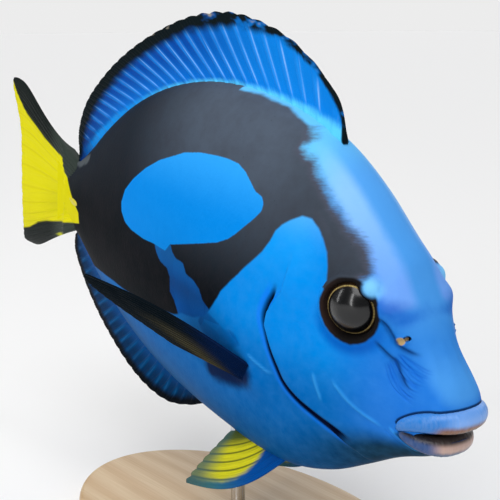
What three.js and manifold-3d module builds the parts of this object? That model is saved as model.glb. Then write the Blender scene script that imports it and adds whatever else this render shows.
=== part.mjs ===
// A regal blue tang (Paracanthurus hepatus), an adult 24 cm long, modelled life size as it swims
// gently nose down, held on a plain display stand: a flat base and one slim rod up to the belly.
// Millimetres. +X is the way the fish heads, +Y is its left and +Z is up. The origin is the middle
// of the base's underside.
//
// The fish is shaped in a frame of its own: x runs forward and is 0 at the tip of the snout, so
// that a place "s behind the snout" has x = -s, y is its left, and z is the height over the long
// axis of the body. The whole body is one loft, parted by thin cuts into head, trunk and tail
// stalk. Each fin is a vane whose rays stand up as ridges in its own surface.
import * as THREE from "three";
import { mergeVertices } from "three/addons/utils/BufferGeometryUtils.js";
import Module from "manifold-3d";

const wasm = await Module();
wasm.setup();

// Driving sizes
const SNOUT = 4;
const STALK_END = 199;
const GAP = 0.3;
const SLIVER = 0.02;
const PITCH_DOWN = THREE.MathUtils.degToRad(5);

// Outline of the body, as [distance behind the snout, height over the long axis].
const BACK = [
  [SNOUT, -12], [8, -7.5], [14, 0.6], [22, 12.4], [25.3, 18.4], [32, 24.4], [44, 35.1], [57, 43.7], [72, 49],
  [90, 51.8], [108, 52], [124, 49.8], [140, 45.2], [156, 37.8], [170, 28.5], [180, 20.3], [188, 14.6],
  [194, 12.4], [STALK_END, 12.2],
];
const BELLY = [
  [SNOUT, -28.4], [10, -29.2], [16, -31], [24, -34.6], [34, -40.6], [46, -47.3], [60, -51.9], [74, -53],
  [92, -51.9], [108, -50.2], [124, -47.5], [140, -43.2], [156, -36.6], [170, -28.4], [180, -21.2],
  [188, -15.4], [194, -12.6], [STALK_END, -12],
];
// Half of the body's width, and the height at which it is widest.
const HALF_WIDTH = [
  [SNOUT, 7.6], [10, 9.2], [16, 10.8], [22, 12.7], [32, 15], [45, 17.4], [60, 18.9], [78, 19.4], [98, 18.6],
  [120, 16.4], [140, 13.4], [160, 9.7], [176, 6.8], [186, 5], [193, 3.4], [STALK_END, 1.9],
];
const WIDEST = [[SNOUT, -19], [14, -17], [30, -9], [50, -4], [80, -3], [120, -2], [160, 0], [STALK_END, 0]];
// How full a section is above and below: 1 is an ellipse, and more is pinched to an edge.
const BACK_PINCH = [[SNOUT, 0.75], [14, 0.8], [30, 0.88], [55, 1], [90, 1.12], [140, 1.2], [STALK_END, 1.25]];
const BELLY_PINCH = [
  [SNOUT, 0.85], [14, 0.8], [40, 0.82], [75, 0.92], [110, 1.08], [150, 1.2], [STALK_END, 1.25],
];
const MUZZLE_ROUND = 4.2;
const MUZZLE_MIDDLE = -19;
// The chin falls back under the mouth by this share of its depth, down to nothing at the end.
const CHIN = { share: 0.38, end: 16 };

// Eye: an upright flattened ball, turned forward, in a socket with a raised rim.
const EYE = { s: 34.3, z: 5.4, centreY: 11.8, radius: 7.3, depth: 5.2, forwardDeg: 23, upDeg: -4 };
const RIM = { radius: 7.7, tube: 1.3, out: 2 };
// Knob of the brow, over the front of each orbit.
const KNOB = { s: 30, y: 11.3, z: 11.2, radius: 3.3 };

// Edge of the gill cover, from its upper corner round to the throat, which parts head from trunk.
const GILL_EDGE = [
  [46, 75], [50, 46], [52.5, 24], [54.8, 5], [59.4, -2], [60.4, -7], [58.4, -12.5], [54.8, -17.5],
  [49.8, -21.8], [44.6, -25], [38.7, -28.6], [31, -34], [24, -48],
];
const GILL_FLARE = { height: 1, reach: 6 };
const STALK_CUT = 181;

// Swellings of the head's side, each [behind snout, height, reach along, reach up, rise].
const HEAD_SWELLINGS = [
  [31, 7, 10, 10, 1], // round the eye
  [30, 19, 9, 5, 0.1], // brow
  [43, -14, 12, 12, 0.9], // cheek
  [23.8, 8.2, 4.5, 3.6, 2.3], // ridge from the brow down to the snout
  [16, -4, 5, 6, -1.3], // hollow of the snout
];
const MIDLINE_BLEND = 7;

const RING_POINTS = 40;
const HEAD_STEP = 3.5;
const TRUNK_STEP = 7;
const HEAD_END = 63;

const BLUE = 0x0c74d8;
const BLACK = 0x1d232b;
const YELLOW = 0xe8e01f;

function finish(color, roughness, metalness = 0) {
  return new THREE.MeshStandardMaterial({ color, roughness, metalness });
}

// A smooth curve through [at, value] points, as a function of at.
function through(points) {
  const slope = points.map((_, i) => {
    const a = points[Math.max(0, i - 1)];
    const b = points[Math.min(points.length - 1, i + 1)];
    return (b[1] - a[1]) / (b[0] - a[0]);
  });
  return (at) => {
    let i = points.findIndex((p) => p[0] >= at);
    if (i === 0) return points[0][1];
    if (i < 0) return points[points.length - 1][1];
    const [x0, y0] = points[i - 1];
    const [x1, y1] = points[i];
    const w = x1 - x0;
    const t = (at - x0) / w;
    const u = 1 - t;
    const bulge = slope[i - 1] * w * u * u * t - slope[i] * w * t * t * u;
    return y0 * (1 + 2 * t) * u * u + y1 * (3 - 2 * t) * t * t + bulge;
  };
}

const back = through(BACK);
const belly = through(BELLY);
const halfWidth = through(HALF_WIDTH);
const widest = through(WIDEST);
const backPinch = through(BACK_PINCH);
const bellyPinch = through(BELLY_PINCH);

function signedPower(value, power) {
  return Math.sign(value) * Math.abs(value) ** power;
}

function distanceToPath(path, s, z) {
  let nearest = Infinity;
  for (let i = 1; i < path.length; i++) {
    const [s0, z0] = path[i - 1];
    const [s1, z1] = path[i];
    const ds = s1 - s0;
    const dz = z1 - z0;
    const along = THREE.MathUtils.clamp(((s - s0) * ds + (z - z0) * dz) / (ds * ds + dz * dz), 0, 1);
    nearest = Math.min(nearest, Math.hypot(s - s0 - along * ds, z - z0 - along * dz));
  }
  return nearest;
}

// How far the head's side stands out from the plain loft at a place seen from the side.
function headSwelling(s, z) {
  let rise = 0;
  for (const [at, height, along, up, amount] of HEAD_SWELLINGS) {
    rise += amount * Math.exp(-(((s - at) / along) ** 2) - ((z - height) / up) ** 2);
  }
  const gill = distanceToPath(GILL_EDGE.slice(3, 11), s, z);
  return rise + GILL_FLARE.height * Math.exp(-((gill / GILL_FLARE.reach) ** 2));
}

// A point of the body's surface. turn runs round the section from the left side over the back.
function bodyPoint(s, turn, grow, swollen) {
  const nose = Math.min(1, (s - SNOUT) / MUZZLE_ROUND);
  const rounding = Math.sqrt(1 - (1 - nose) ** 2);
  const middle = widest(s);
  const up = Math.sin(turn);
  const side = Math.cos(turn);
  const reach = up > 0 ? back(s) - middle : middle - belly(s);
  const pinch = up > 0 ? backPinch(s) : bellyPinch(s);
  let y = signedPower(side, pinch) * halfWidth(s);
  let z = middle + up * reach;
  if (swollen) y += headSwelling(s, z) * Math.sign(y) * Math.min(1, Math.abs(y) / MIDLINE_BLEND);
  y = y * rounding + side * grow;
  z = MUZZLE_MIDDLE + (z - MUZZLE_MIDDLE) * rounding + up * grow;
  const front = 1 - THREE.MathUtils.smoothstep(s, SNOUT, CHIN.end);
  return new THREE.Vector3(-s - CHIN.share * front * Math.max(0, MUZZLE_MIDDLE - z), y, z);
}

function geometryOf(points, triangles) {
  const geometry = new THREE.BufferGeometry().setFromPoints(points);
  geometry.setIndex(triangles);
  return geometry;
}

// Stations down the body, closer together on the head.
function bodyStations() {
  const stations = [0.12, 0.6, 1.6, 3].map((step) => SNOUT + step);
  for (let s = SNOUT + 2 * HEAD_STEP; s < HEAD_END; s += HEAD_STEP) stations.push(s);
  for (let s = HEAD_END; s < STALK_END - TRUNK_STEP / 2; s += TRUNK_STEP) stations.push(s);
  stations.push(STALK_END);
  return stations;
}

function bodyGeometry(grow = 0, swollen = false) {
  const stations = bodyStations();
  const points = [];
  for (const s of stations) {
    for (let k = 0; k < RING_POINTS; k++) {
      const point = bodyPoint(s, (2 * Math.PI * k) / RING_POINTS, grow, swollen);
      if (s === stations[0]) point.x += grow;
      if (s === STALK_END) point.x -= grow;
      points.push(point);
    }
  }
  const triangles = [];
  const at = (i, k) => i * RING_POINTS + (k % RING_POINTS);
  for (let i = 1; i < stations.length; i++) {
    for (let k = 0; k < RING_POINTS; k++) {
      triangles.push(at(i - 1, k), at(i, k), at(i, k + 1), at(i - 1, k), at(i, k + 1), at(i - 1, k + 1));
    }
  }
  const last = stations.length - 1;
  const frontCap = points.push(new THREE.Vector3(-stations[0] + grow, 0, MUZZLE_MIDDLE)) - 1;
  const rearCap = points.push(new THREE.Vector3(-STALK_END - grow, 0, 0)) - 1;
  for (let k = 0; k < RING_POINTS; k++) {
    triangles.push(frontCap, at(0, k), at(0, k + 1), rearCap, at(last, k + 1), at(last, k));
  }
  return geometryOf(points, triangles);
}

// Solids for joining and cutting
function solidOf(geometry) {
  const bare = geometry.clone();
  bare.deleteAttribute("normal");
  bare.deleteAttribute("uv");
  const merged = mergeVertices(bare, 1e-4);
  return new wasm.Manifold(
    new wasm.Mesh({
      numProp: 3,
      vertProperties: new Float32Array(merged.attributes.position.array),
      triVerts: new Uint32Array(merged.index.array),
    }),
  );
}

function largestOf(solid) {
  return solid.decompose().reduce((a, b) => (b.volume() > a.volume() ? b : a));
}

function meshOf(name, solid, material) {
  const made = largestOf(solid.simplify(SLIVER)).getMesh();
  const geometry = new THREE.BufferGeometry();
  geometry.setAttribute("position", new THREE.BufferAttribute(new Float32Array(made.vertProperties), 3));
  geometry.setIndex(new THREE.BufferAttribute(new Uint32Array(made.triVerts), 1));
  geometry.computeVertexNormals();
  const mesh = new THREE.Mesh(geometry, material);
  mesh.name = name;
  return mesh;
}

// The block of space, right across the body, inside an outline drawn from the side as [s, z].
function sideBlock(outline) {
  const shape = new THREE.Shape(outline.map(([s, z]) => new THREE.Vector2(-s, z)));
  const depth = 120;
  const block = new THREE.ExtrudeGeometry(shape, { depth, bevelEnabled: false, steps: 1 });
  block.translate(0, 0, -depth / 2);
  block.rotateX(Math.PI / 2);
  return solidOf(block);
}

// A thin vane over a grid of columns and rows. middle(i, j) is its middle surface and thick(i, j)
// its thickness. Both faces are split into triangles alike.
function vaneGeometry(columns, rows, middle, thick) {
  const centre = [];
  for (let i = 0; i < columns; i++) {
    for (let j = 0; j < rows; j++) centre.push(middle(i, j));
  }
  const at = (i, j) => i * rows + j;
  const { clamp } = THREE.MathUtils;
  const near = (i, j) => centre[at(clamp(i, 0, columns - 1), clamp(j, 0, rows - 1))];
  const faces = [[], []];
  for (let i = 0; i < columns; i++) {
    for (let j = 0; j < rows; j++) {
      const along = near(i + 1, j).clone().sub(near(i - 1, j));
      const out = near(i, j + 1).clone().sub(near(i, j - 1));
      const normal = along.cross(out).normalize().multiplyScalar(thick(i, j) / 2);
      faces[0].push(near(i, j).clone().add(normal));
      faces[1].push(near(i, j).clone().sub(normal));
    }
  }
  const points = [...faces[0], ...faces[1]];
  const other = columns * rows;
  const triangles = [];
  for (let i = 1; i < columns; i++) {
    for (let j = 1; j < rows; j++) {
      const [a, b, c, d] = [at(i - 1, j - 1), at(i, j - 1), at(i, j), at(i - 1, j)];
      triangles.push(a, b, c, a, c, d);
      triangles.push(other + a, other + c, other + b, other + a, other + d, other + c);
    }
  }
  const rim = [];
  for (let i = 0; i < columns - 1; i++) rim.push(at(i, 0));
  for (let j = 0; j < rows - 1; j++) rim.push(at(columns - 1, j));
  for (let i = columns - 1; i > 0; i--) rim.push(at(i, rows - 1));
  for (let j = rows - 1; j > 0; j--) rim.push(at(0, j));
  rim.forEach((a, k) => {
    const b = rim[(k + 1) % rim.length];
    triangles.push(a, other + a, other + b, a, other + b, b);
  });
  return geometryOf(points, triangles);
}

// A fin of rays joined by membrane: every odd column is a ray, which stands up as a ridge, and every
// even one the membrane between two, which falls short of the ray tips by the notch.
// ray(t, v) is the point a share v out along the ray at a share t along the fin's root.
function finGeometry({ rays, rows, ray, root, edgeThick, ridge, notch }) {
  const columns = 2 * rays + 1;
  const isRay = (i) => i % 2 === 1;
  return vaneGeometry(
    columns,
    rows,
    (i, j) => {
      const t = i / (columns - 1);
      const reach = isRay(i) ? 1 : 1 - notch(t);
      return ray(t, (j / (rows - 1)) * reach);
    },
    (i, j) => {
      const v = j / (rows - 1);
      const membrane = THREE.MathUtils.lerp(root, edgeThick, Math.sqrt(v));
      return isRay(i) ? membrane + ridge * (1 - 0.75 * v) : membrane;
    },
  );
}

// Points at even spaces along a curve drawn from the side as [s, z], as a function of the share.
function sideCurve(outline) {
  const curve = new THREE.CatmullRomCurve3(
    outline.map(([s, z]) => new THREE.Vector3(-s, 0, z)),
    false,
    "centripetal",
  );
  return (share) => curve.getPointAt(THREE.MathUtils.clamp(share, 0, 1));
}

const SINK = 4;

// A fin on the midline. Its root follows the back or belly from one place to another, and its
// edge is a curve. lean shifts the ray tips back along the edge, and sway bends the fin sideways.
function midlineFin({ from, to, profile, inward, edge, lean, sway, ...rest }) {
  const tips = sideCurve(edge);
  const ray = (t, v) => {
    const s = THREE.MathUtils.lerp(from, to, t);
    const foot = new THREE.Vector3(-s, 0, profile(s) + inward * SINK);
    const point = foot.lerp(tips(t ** lean), v);
    point.y = sway(t) * v * v;
    return point;
  };
  return finGeometry({ ...rest, ray });
}

// Dorsal fin: nine spines and nineteen soft rays.
const DORSAL = {
  from: 56, to: 188.5, rays: 28, rows: 5,
  edge: [
    [53.8, 43], [56.7, 51.5], [62.3, 57.2], [70, 62.3], [81, 67.5], [95, 71], [110, 72.3], [126, 70],
    [142, 64.3], [159, 55.3], [174, 44.5], [185.5, 34], [192, 23], [192.3, 14.5],
  ],
  lean: 0.66, root: 2, edgeThick: 0.6, ridge: 0.8,
};
// Anal fin: three spines and eighteen soft rays.
const ANAL = {
  from: 108, to: 188, rays: 21, rows: 5,
  edge: [
    [106, -48.5], [112, -52.4], [120, -55.5], [129, -57.4], [142, -56.2], [160, -50.5], [178.5, -41],
    [189, -31], [194.5, -20], [193, -14.5],
  ],
  lean: 0.85, root: 1.8, edgeThick: 0.6, ridge: 0.7,
};
const SPINE_NOTCH = 0.07;
const SOFT_NOTCH = 0.025;

function dorsalFin() {
  return midlineFin({
    ...DORSAL, profile: back, inward: -1,
    sway: (t) => 2 * Math.sin(2.2 * Math.PI * t),
    notch: (t) => (t < 0.33 ? SPINE_NOTCH : SOFT_NOTCH),
  });
}

function analFin() {
  return midlineFin({
    ...ANAL, profile: belly, inward: 1,
    sway: (t) => -1.5 * Math.sin(2 * Math.PI * t),
    notch: () => SOFT_NOTCH,
  });
}

// Tail fin: rays fan out from the end of the stalk. Its upper lobe is drawn out to a blunt point,
// and its lower lobe is rounded and curls a little to the fish's left.
const TAIL = {
  rays: 16, rows: 8, rootS: 189, rootHalf: 11.5, middleS: 235.7, upperHalf: 37.4, lowerHalf: 28.4,
  upperBow: 2.7, lowerBow: 0.8, curl: 4.3, root: 5, edgeThick: 0.6, ridge: 0.7,
};

// How far behind the middle of the tail's rear edge the ray tips stand, and how the corners round.
function tailReach(high, low) {
  const upper = 6.7 * THREE.MathUtils.smoothstep(high, 0.2, 0.75) - 4 * high ** 24;
  const lower = 6.5 * low ** 2 - 10.2 * low ** 14;
  return TAIL.middleS + upper + lower;
}

function tailFin() {
  const ray = (t, v) => {
    const h = 1 - 2 * t;
    const high = Math.max(0, h);
    const low = Math.max(0, -h);
    const spread = signedPower(Math.sin((h * Math.PI) / 2), 0.92);
    const lower = THREE.MathUtils.smoothstep(low, 0, 0.6);
    const half = THREE.MathUtils.lerp(TAIL.upperHalf, TAIL.lowerHalf, lower);
    const tip = new THREE.Vector3(-tailReach(high, low), TAIL.curl * low ** 1.5, spread * half);
    const point = new THREE.Vector3(-TAIL.rootS, 0, TAIL.rootHalf * h).lerp(tip, v);
    point.z += (TAIL.upperBow * high - TAIL.lowerBow * low) * Math.sin(Math.PI * v ** 3);
    point.y += 1.2 * Math.sin(Math.PI * v) * Math.cos(Math.PI * h);
    return point;
  };
  return finGeometry({ ...TAIL, ray, notch: () => 0.01 });
}

// Paired fins are shaped on the right side and mirrored. A ray leaves its foot, bows, and ends at
// its tip.
const PECTORAL = {
  rays: 14, rows: 6,
  footUpper: [61, -15.8, -22.6], footLower: [60.2, -15.4, -27],
  tip: [114.3, -42.2, -2.9], lastTip: [96, -23.2, -22.4],
  bow: [1.3, -0.5, 2.8], hollow: -0.22, root: 1.8, edgeThick: 0.55, ridge: 0.7,
};
const PELVIC = {
  rays: 7, rows: 6,
  footFront: [61, -4, -47.5], footRear: [80, -4, -48.5],
  tip: [100.5, -14, -71.5], lastTip: [87, -7.6, -50.3],
  bow: [-4.6, -3.5, -3.4], hollow: -0.03, root: 1.8, edgeThick: 0.55, ridge: 0.8,
};

function placeOf([s, y, z]) {
  return new THREE.Vector3(-s, y, z);
}

function pairedFin(fin, first, last) {
  const ray = (t, v) => {
    const foot = placeOf(first).lerp(placeOf(last), t);
    const straight = placeOf(fin.tip).lerp(placeOf(fin.lastTip), t);
    const tip = straight.lerp(foot, fin.hollow * Math.sin(Math.PI * t));
    const point = foot.clone().lerp(tip, v);
    const bow = placeOf(fin.bow).multiplyScalar((1 - t) ** 1.5 * Math.sin(Math.PI * v));
    return point.add(bow);
  };
  return finGeometry({ ...fin, ray, notch: () => 0.02 });
}

// Turns a geometry into its mirror image on the other side of the fish.
function mirrored(geometry) {
  const other = geometry.clone().scale(1, -1, 1);
  const index = other.index.array;
  for (let i = 0; i < index.length; i += 3) [index[i + 1], index[i + 2]] = [index[i + 2], index[i + 1]];
  return other;
}

// The eye's place and the way it looks, on the left (side 1) or right (side -1).
function eyeFrame(side) {
  const looks = new THREE.Vector3(
    Math.sin(THREE.MathUtils.degToRad(EYE.forwardDeg)),
    side * Math.cos(THREE.MathUtils.degToRad(EYE.forwardDeg)),
    Math.sin(THREE.MathUtils.degToRad(EYE.upDeg)),
  ).normalize();
  const turn = new THREE.Quaternion().setFromUnitVectors(new THREE.Vector3(0, 0, 1), looks);
  const centre = new THREE.Vector3(-EYE.s, side * EYE.centreY, EYE.z);
  return { looks, matrix: new THREE.Matrix4().compose(centre, turn, new THREE.Vector3(1, 1, 1)) };
}

function eyeGeometry(side, grow = 0) {
  const ball = new THREE.SphereGeometry(1, 20, 12);
  ball.scale(EYE.radius + grow, EYE.depth + grow, EYE.radius + grow);
  ball.rotateX(Math.PI / 2);
  return ball.applyMatrix4(eyeFrame(side).matrix);
}

function rimGeometry(side) {
  const ring = new THREE.TorusGeometry(RIM.radius, RIM.tube, 8, 22);
  ring.translate(0, 0, RIM.out);
  return ring.applyMatrix4(eyeFrame(side).matrix);
}

function knobGeometry(side) {
  return new THREE.SphereGeometry(KNOB.radius, 14, 10).translate(-KNOB.s, side * KNOB.y, KNOB.z);
}

// Lips: rolls round the front of the muzzle, thickest in the middle.
const UPPER_LIP = {
  frontS: 4.8, cornerS: 17.6, frontZ: -17.2, cornerZ: -21, halfSpan: 11,
  high: 2.9, deep: 2.4, square: 0.82, droop: 2.2,
};
const LOWER_LIP = {
  frontS: 7.9, cornerS: 18, frontZ: -24.8, cornerZ: -23, halfSpan: 9,
  high: 2.6, deep: 2.5, square: 0.82, droop: 1.3,
};
const MOUTH_SLIT = { frontS: -6, rearS: 16.5, halfSpan: 13, z: -20.6, high: 2.4, droop: 3.2 };

function lipGeometry(lip, grow = 0) {
  const steps = 22;
  const sides = 10;
  const points = [];
  for (let i = 0; i <= steps; i++) {
    const turn = Math.PI * (i / steps - 0.5);
    const back = 1 - Math.cos(turn);
    const centre = new THREE.Vector3(
      -THREE.MathUtils.lerp(lip.frontS, lip.cornerS, back),
      lip.halfSpan * signedPower(Math.sin(turn), lip.square),
      THREE.MathUtils.lerp(lip.frontZ, lip.cornerZ, back ** lip.droop),
    );
    const out = new THREE.Vector3(Math.cos(turn), Math.sin(turn), 0);
    const full = 0.3 + 0.7 * Math.cos(turn) ** 0.45;
    for (let k = 0; k < sides; k++) {
      const round = (2 * Math.PI * k) / sides;
      const point = centre.clone().addScaledVector(out, Math.cos(round) * (lip.deep * full + grow));
      point.z += Math.sin(round) * (lip.high * full + grow);
      points.push(point);
    }
  }
  const at = (i, k) => i * sides + (k % sides);
  const triangles = [];
  for (let i = 1; i <= steps; i++) {
    for (let k = 0; k < sides; k++) {
      triangles.push(at(i - 1, k), at(i, k), at(i, k + 1), at(i - 1, k), at(i, k + 1), at(i - 1, k + 1));
    }
  }
  for (let k = 1; k < sides - 1; k++) {
    triangles.push(at(0, 0), at(0, k), at(0, k + 1), at(steps, 0), at(steps, k + 1), at(steps, k));
  }
  return geometryOf(points, triangles);
}

function mouthSlitGeometry() {
  const slit = new THREE.SphereGeometry(1, 20, 10);
  slit.scale((MOUTH_SLIT.rearS - MOUTH_SLIT.frontS) / 2, MOUTH_SLIT.halfSpan, MOUTH_SLIT.high);
  slit.translate(-(MOUTH_SLIT.rearS + MOUTH_SLIT.frontS) / 2, 0, MOUTH_SLIT.z);
  const { position } = slit.attributes;
  for (let i = 0; i < position.count; i++) {
    const aside = position.getY(i) / MOUTH_SLIT.halfSpan;
    position.setZ(i, position.getZ(i) - MOUTH_SLIT.droop * aside ** 2);
  }
  return slit;
}

// Nostrils: two small pits on each side, before the eye.
const NOSTRILS = [
  { s: 19.9, z: 0.2, radius: 0.9 },
  { s: 18.3, z: 1.1, radius: 0.7 },
];

function surfaceSide(s, z) {
  const middle = widest(s);
  const reach = z > middle ? back(s) - middle : middle - belly(s);
  const pinch = z > middle ? backPinch(s) : bellyPinch(s);
  const up = THREE.MathUtils.clamp((z - middle) / reach, -1, 1);
  return halfWidth(s) * Math.sqrt(1 - up * up) ** pinch;
}

function nostrilGeometry({ s, z, radius }, side) {
  const pit = new THREE.SphereGeometry(radius, 8, 6);
  const y = surfaceSide(s, z) + headSwelling(s, z);
  return pit.translate(-s, side * y, z);
}

// Tail blade: the folded spine on each side of the stalk, lying forward in a shallow step.
const BLADE = { s: 188, z: -0.5, length: 10, high: 2.4, out: 1 };

function bladeGeometry(side) {
  const blade = new THREE.ConeGeometry(1, BLADE.length, 8);
  blade.scale(BLADE.out + 0.9, 1, BLADE.high / 2);
  blade.rotateZ(-Math.PI / 2);
  return blade.translate(-BLADE.s, side * surfaceSide(BLADE.s, BLADE.z), BLADE.z);
}

// Display stand
const BASE = { length: 136, width: 84, height: 9, bevel: 1.5, sides: 26 };
const ROD = { radius: 2.2, s: 93, sides: 24 };
const FIN_CLEARANCE = 13;

// Where the fish's own frame lies in the part's: the rod stands under the middle of the weight.
const SNOUT_HEIGHT =
  BASE.height + FIN_CLEARANCE - PELVIC.tip[2] * Math.cos(PITCH_DOWN) - PELVIC.tip[0] * Math.sin(PITCH_DOWN);
const SNOUT_AHEAD = ROD.s * Math.cos(PITCH_DOWN) - belly(ROD.s) * Math.sin(PITCH_DOWN);
const pose = new THREE.Matrix4()
  .makeTranslation(SNOUT_AHEAD, 0, SNOUT_HEIGHT)
  .multiply(new THREE.Matrix4().makeRotationY(PITCH_DOWN));

function baseGeometry() {
  const { length, width, height, bevel, sides } = BASE;
  const plate = new THREE.Shape().absellipse(0, 0, length / 2 - bevel, width / 2 - bevel, 0, 2 * Math.PI);
  const geometry = new THREE.ExtrudeGeometry(plate, {
    depth: height - 2 * bevel, bevelThickness: bevel, bevelSize: bevel, bevelSegments: 2,
    curveSegments: sides,
  });
  return geometry.translate(0, 0, bevel);
}

function rodSolid() {
  const bottom = BASE.height + GAP;
  const top = SNOUT_HEIGHT;
  const rod = new THREE.CylinderGeometry(ROD.radius, ROD.radius, top - bottom, ROD.sides);
  rod.rotateX(Math.PI / 2);
  rod.translate(0, 0, (top + bottom) / 2);
  const clear = solidOf(bodyGeometry(GAP).applyMatrix4(pose));
  return solidOf(rod).subtract(clear);
}

// Assembly
const fish = new THREE.Group();
fish.applyMatrix4(pose);

const grown = solidOf(bodyGeometry(GAP + 0.05));
const grownHead = solidOf(bodyGeometry(GAP + 0.05, true));
const eyes = [1, -1].map((side) => ({ side, name: side > 0 ? "left" : "right" }));

// The edge of the gill cover, shifted, as the rear of the head or the front of the trunk.
function frontOfGill(shift) {
  return sideBlock([[-20, 75], ...GILL_EDGE.map(([s, z]) => [s + shift, z]), [24, -80], [-20, -80]]);
}

const headSpace = frontOfGill(-GAP / 2);
let head = solidOf(bodyGeometry(0, true)).intersect(headSpace);
for (const { side } of eyes) {
  head = head.add(solidOf(rimGeometry(side)).intersect(headSpace));
  head = head.add(solidOf(knobGeometry(side)).intersect(headSpace));
}
for (const { side } of eyes) {
  head = head.subtract(solidOf(eyeGeometry(side, GAP)));
  for (const nostril of NOSTRILS) head = head.subtract(solidOf(nostrilGeometry(nostril, side)));
}
for (const lip of [UPPER_LIP, LOWER_LIP]) head = head.subtract(solidOf(lipGeometry(lip, GAP)));
head = head.subtract(solidOf(mouthSlitGeometry()));
fish.add(meshOf("head", head, finish(BLUE, 0.42)));

const trunkSpace = sideBlock([[STALK_CUT - GAP / 2, 80], [STALK_CUT - GAP / 2, -80], [-20, -80], [-20, 80]]);
const body = solidOf(bodyGeometry());
const trunk = body.intersect(trunkSpace).subtract(frontOfGill(GAP / 2));
fish.add(meshOf("trunk", trunk, finish(BLACK, 0.42)));

const stalkFront = STALK_CUT + GAP / 2;
const stalk = body.subtract(sideBlock([[stalkFront, 80], [stalkFront, -80], [-20, -80], [-20, 80]]));
fish.add(meshOf("tail_stalk", stalk, finish(BLACK, 0.42)));

const upperLip = solidOf(lipGeometry(UPPER_LIP));
const lowerLip = solidOf(lipGeometry(LOWER_LIP)).subtract(solidOf(lipGeometry(UPPER_LIP, GAP)));
fish.add(meshOf("upper_lip", upperLip, finish(BLUE, 0.35)));
fish.add(meshOf("lower_lip", lowerLip, finish(0xb9a79a, 0.35)));

for (const { side, name } of eyes) {
  fish.add(meshOf("eye_" + name, solidOf(eyeGeometry(side)), finish(0x0b0b0c, 0.08)));
}

function addFin(name, geometry, color) {
  const cut = solidOf(geometry).subtract(grown).subtract(grownHead);
  fish.add(meshOf(name, cut, finish(color, 0.45)));
}

addFin("dorsal_fin", dorsalFin(), BLUE);
addFin("anal_fin", analFin(), BLUE);
addFin("tail_fin", tailFin(), YELLOW);
const pectoral = pairedFin(PECTORAL, PECTORAL.footUpper, PECTORAL.footLower);
const pelvic = pairedFin(PELVIC, PELVIC.footFront, PELVIC.footRear);
addFin("pectoral_fin_right", pectoral, BLACK);
addFin("pectoral_fin_left", mirrored(pectoral), BLACK);
addFin("pelvic_fin_right", pelvic, YELLOW);
addFin("pelvic_fin_left", mirrored(pelvic), YELLOW);
for (const { side, name } of eyes) addFin("tail_blade_" + name, bladeGeometry(side), YELLOW);

const model = new THREE.Group();
model.add(fish);
model.add(meshOf("stand_base", solidOf(baseGeometry()), finish(0xd9c19a, 0.5)));
model.add(meshOf("stand_rod", rodSolid(), finish(0xc9ccd0, 0.3, 1)));

export default model;
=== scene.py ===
# A regal blue tang (Paracanthurus hepatus), life size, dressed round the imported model.
#
# The fish is shaped in millimetres in a frame of its own, as in the model's source: s is the
# distance behind the snout, y its left and z the height over the long axis of the body. One skin
# covers head, trunk, tail stalk and lips. Its markings are kept as signed distances to outlines
# drawn from the side, positive inside, so that the materials can draw sharp or feathery borders.
import math

import bpy
import numpy as np
from mathutils import Matrix, Vector


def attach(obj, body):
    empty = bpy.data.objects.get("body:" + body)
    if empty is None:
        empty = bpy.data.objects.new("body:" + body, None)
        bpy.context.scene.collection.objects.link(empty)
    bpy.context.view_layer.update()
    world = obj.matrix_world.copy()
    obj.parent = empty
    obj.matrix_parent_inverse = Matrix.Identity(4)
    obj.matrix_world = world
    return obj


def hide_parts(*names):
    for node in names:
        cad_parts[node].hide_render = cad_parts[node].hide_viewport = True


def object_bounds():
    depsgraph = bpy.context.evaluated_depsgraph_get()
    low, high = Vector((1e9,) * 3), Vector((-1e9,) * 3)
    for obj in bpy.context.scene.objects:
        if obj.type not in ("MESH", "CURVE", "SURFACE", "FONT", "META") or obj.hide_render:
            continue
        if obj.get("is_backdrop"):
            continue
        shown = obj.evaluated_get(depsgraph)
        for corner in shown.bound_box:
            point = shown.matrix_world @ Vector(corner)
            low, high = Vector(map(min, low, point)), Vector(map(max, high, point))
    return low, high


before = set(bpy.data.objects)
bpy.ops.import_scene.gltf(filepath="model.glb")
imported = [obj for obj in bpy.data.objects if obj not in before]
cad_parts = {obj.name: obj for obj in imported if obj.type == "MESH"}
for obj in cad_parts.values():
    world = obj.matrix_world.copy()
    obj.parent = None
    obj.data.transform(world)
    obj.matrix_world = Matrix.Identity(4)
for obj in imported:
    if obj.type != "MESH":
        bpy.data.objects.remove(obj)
cad_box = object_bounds()

MM = 0.001
PITCH_DOWN = math.radians(5)
SNOUT_HEIGHT = 84.4688
ROD_S = 93
BASE = {"half_length": 68, "half_width": 42, "height": 9, "bevel": 1.5}

# Body, as in the model's source, with the end of the stalk drawn out over the root of the tail.
SNOUT = 4
STALK_END = 207
MUZZLE_ROUND = 4.2
MUZZLE_MIDDLE = -19
MIDLINE_BLEND = 7
GILL_FLARE_REACH = 6
CHIN_SHARE, CHIN_END = 0.38, 16
BACK = [
    (4, -12), (8, -7.5), (14, 0.6), (22, 12.4), (25.3, 18.4), (32, 24.4), (44, 35.1), (57, 43.7), (72, 49),
    (90, 51.8), (108, 52), (124, 49.8), (140, 45.2), (156, 37.8), (170, 28.5), (180, 20.3), (188, 14.6),
    (194, 12.4), (199, 12.8), (207, 15.5),
]
BELLY = [
    (4, -28.4), (10, -29.2), (16, -31), (24, -34.6), (34, -40.6), (46, -47.3), (60, -51.9), (74, -53),
    (92, -51.9), (108, -50.2), (124, -47.5), (140, -43.2), (156, -36.6), (170, -28.4), (180, -21.2),
    (188, -15.4), (194, -12.6), (199, -12.6), (207, -14.6),
]
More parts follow.
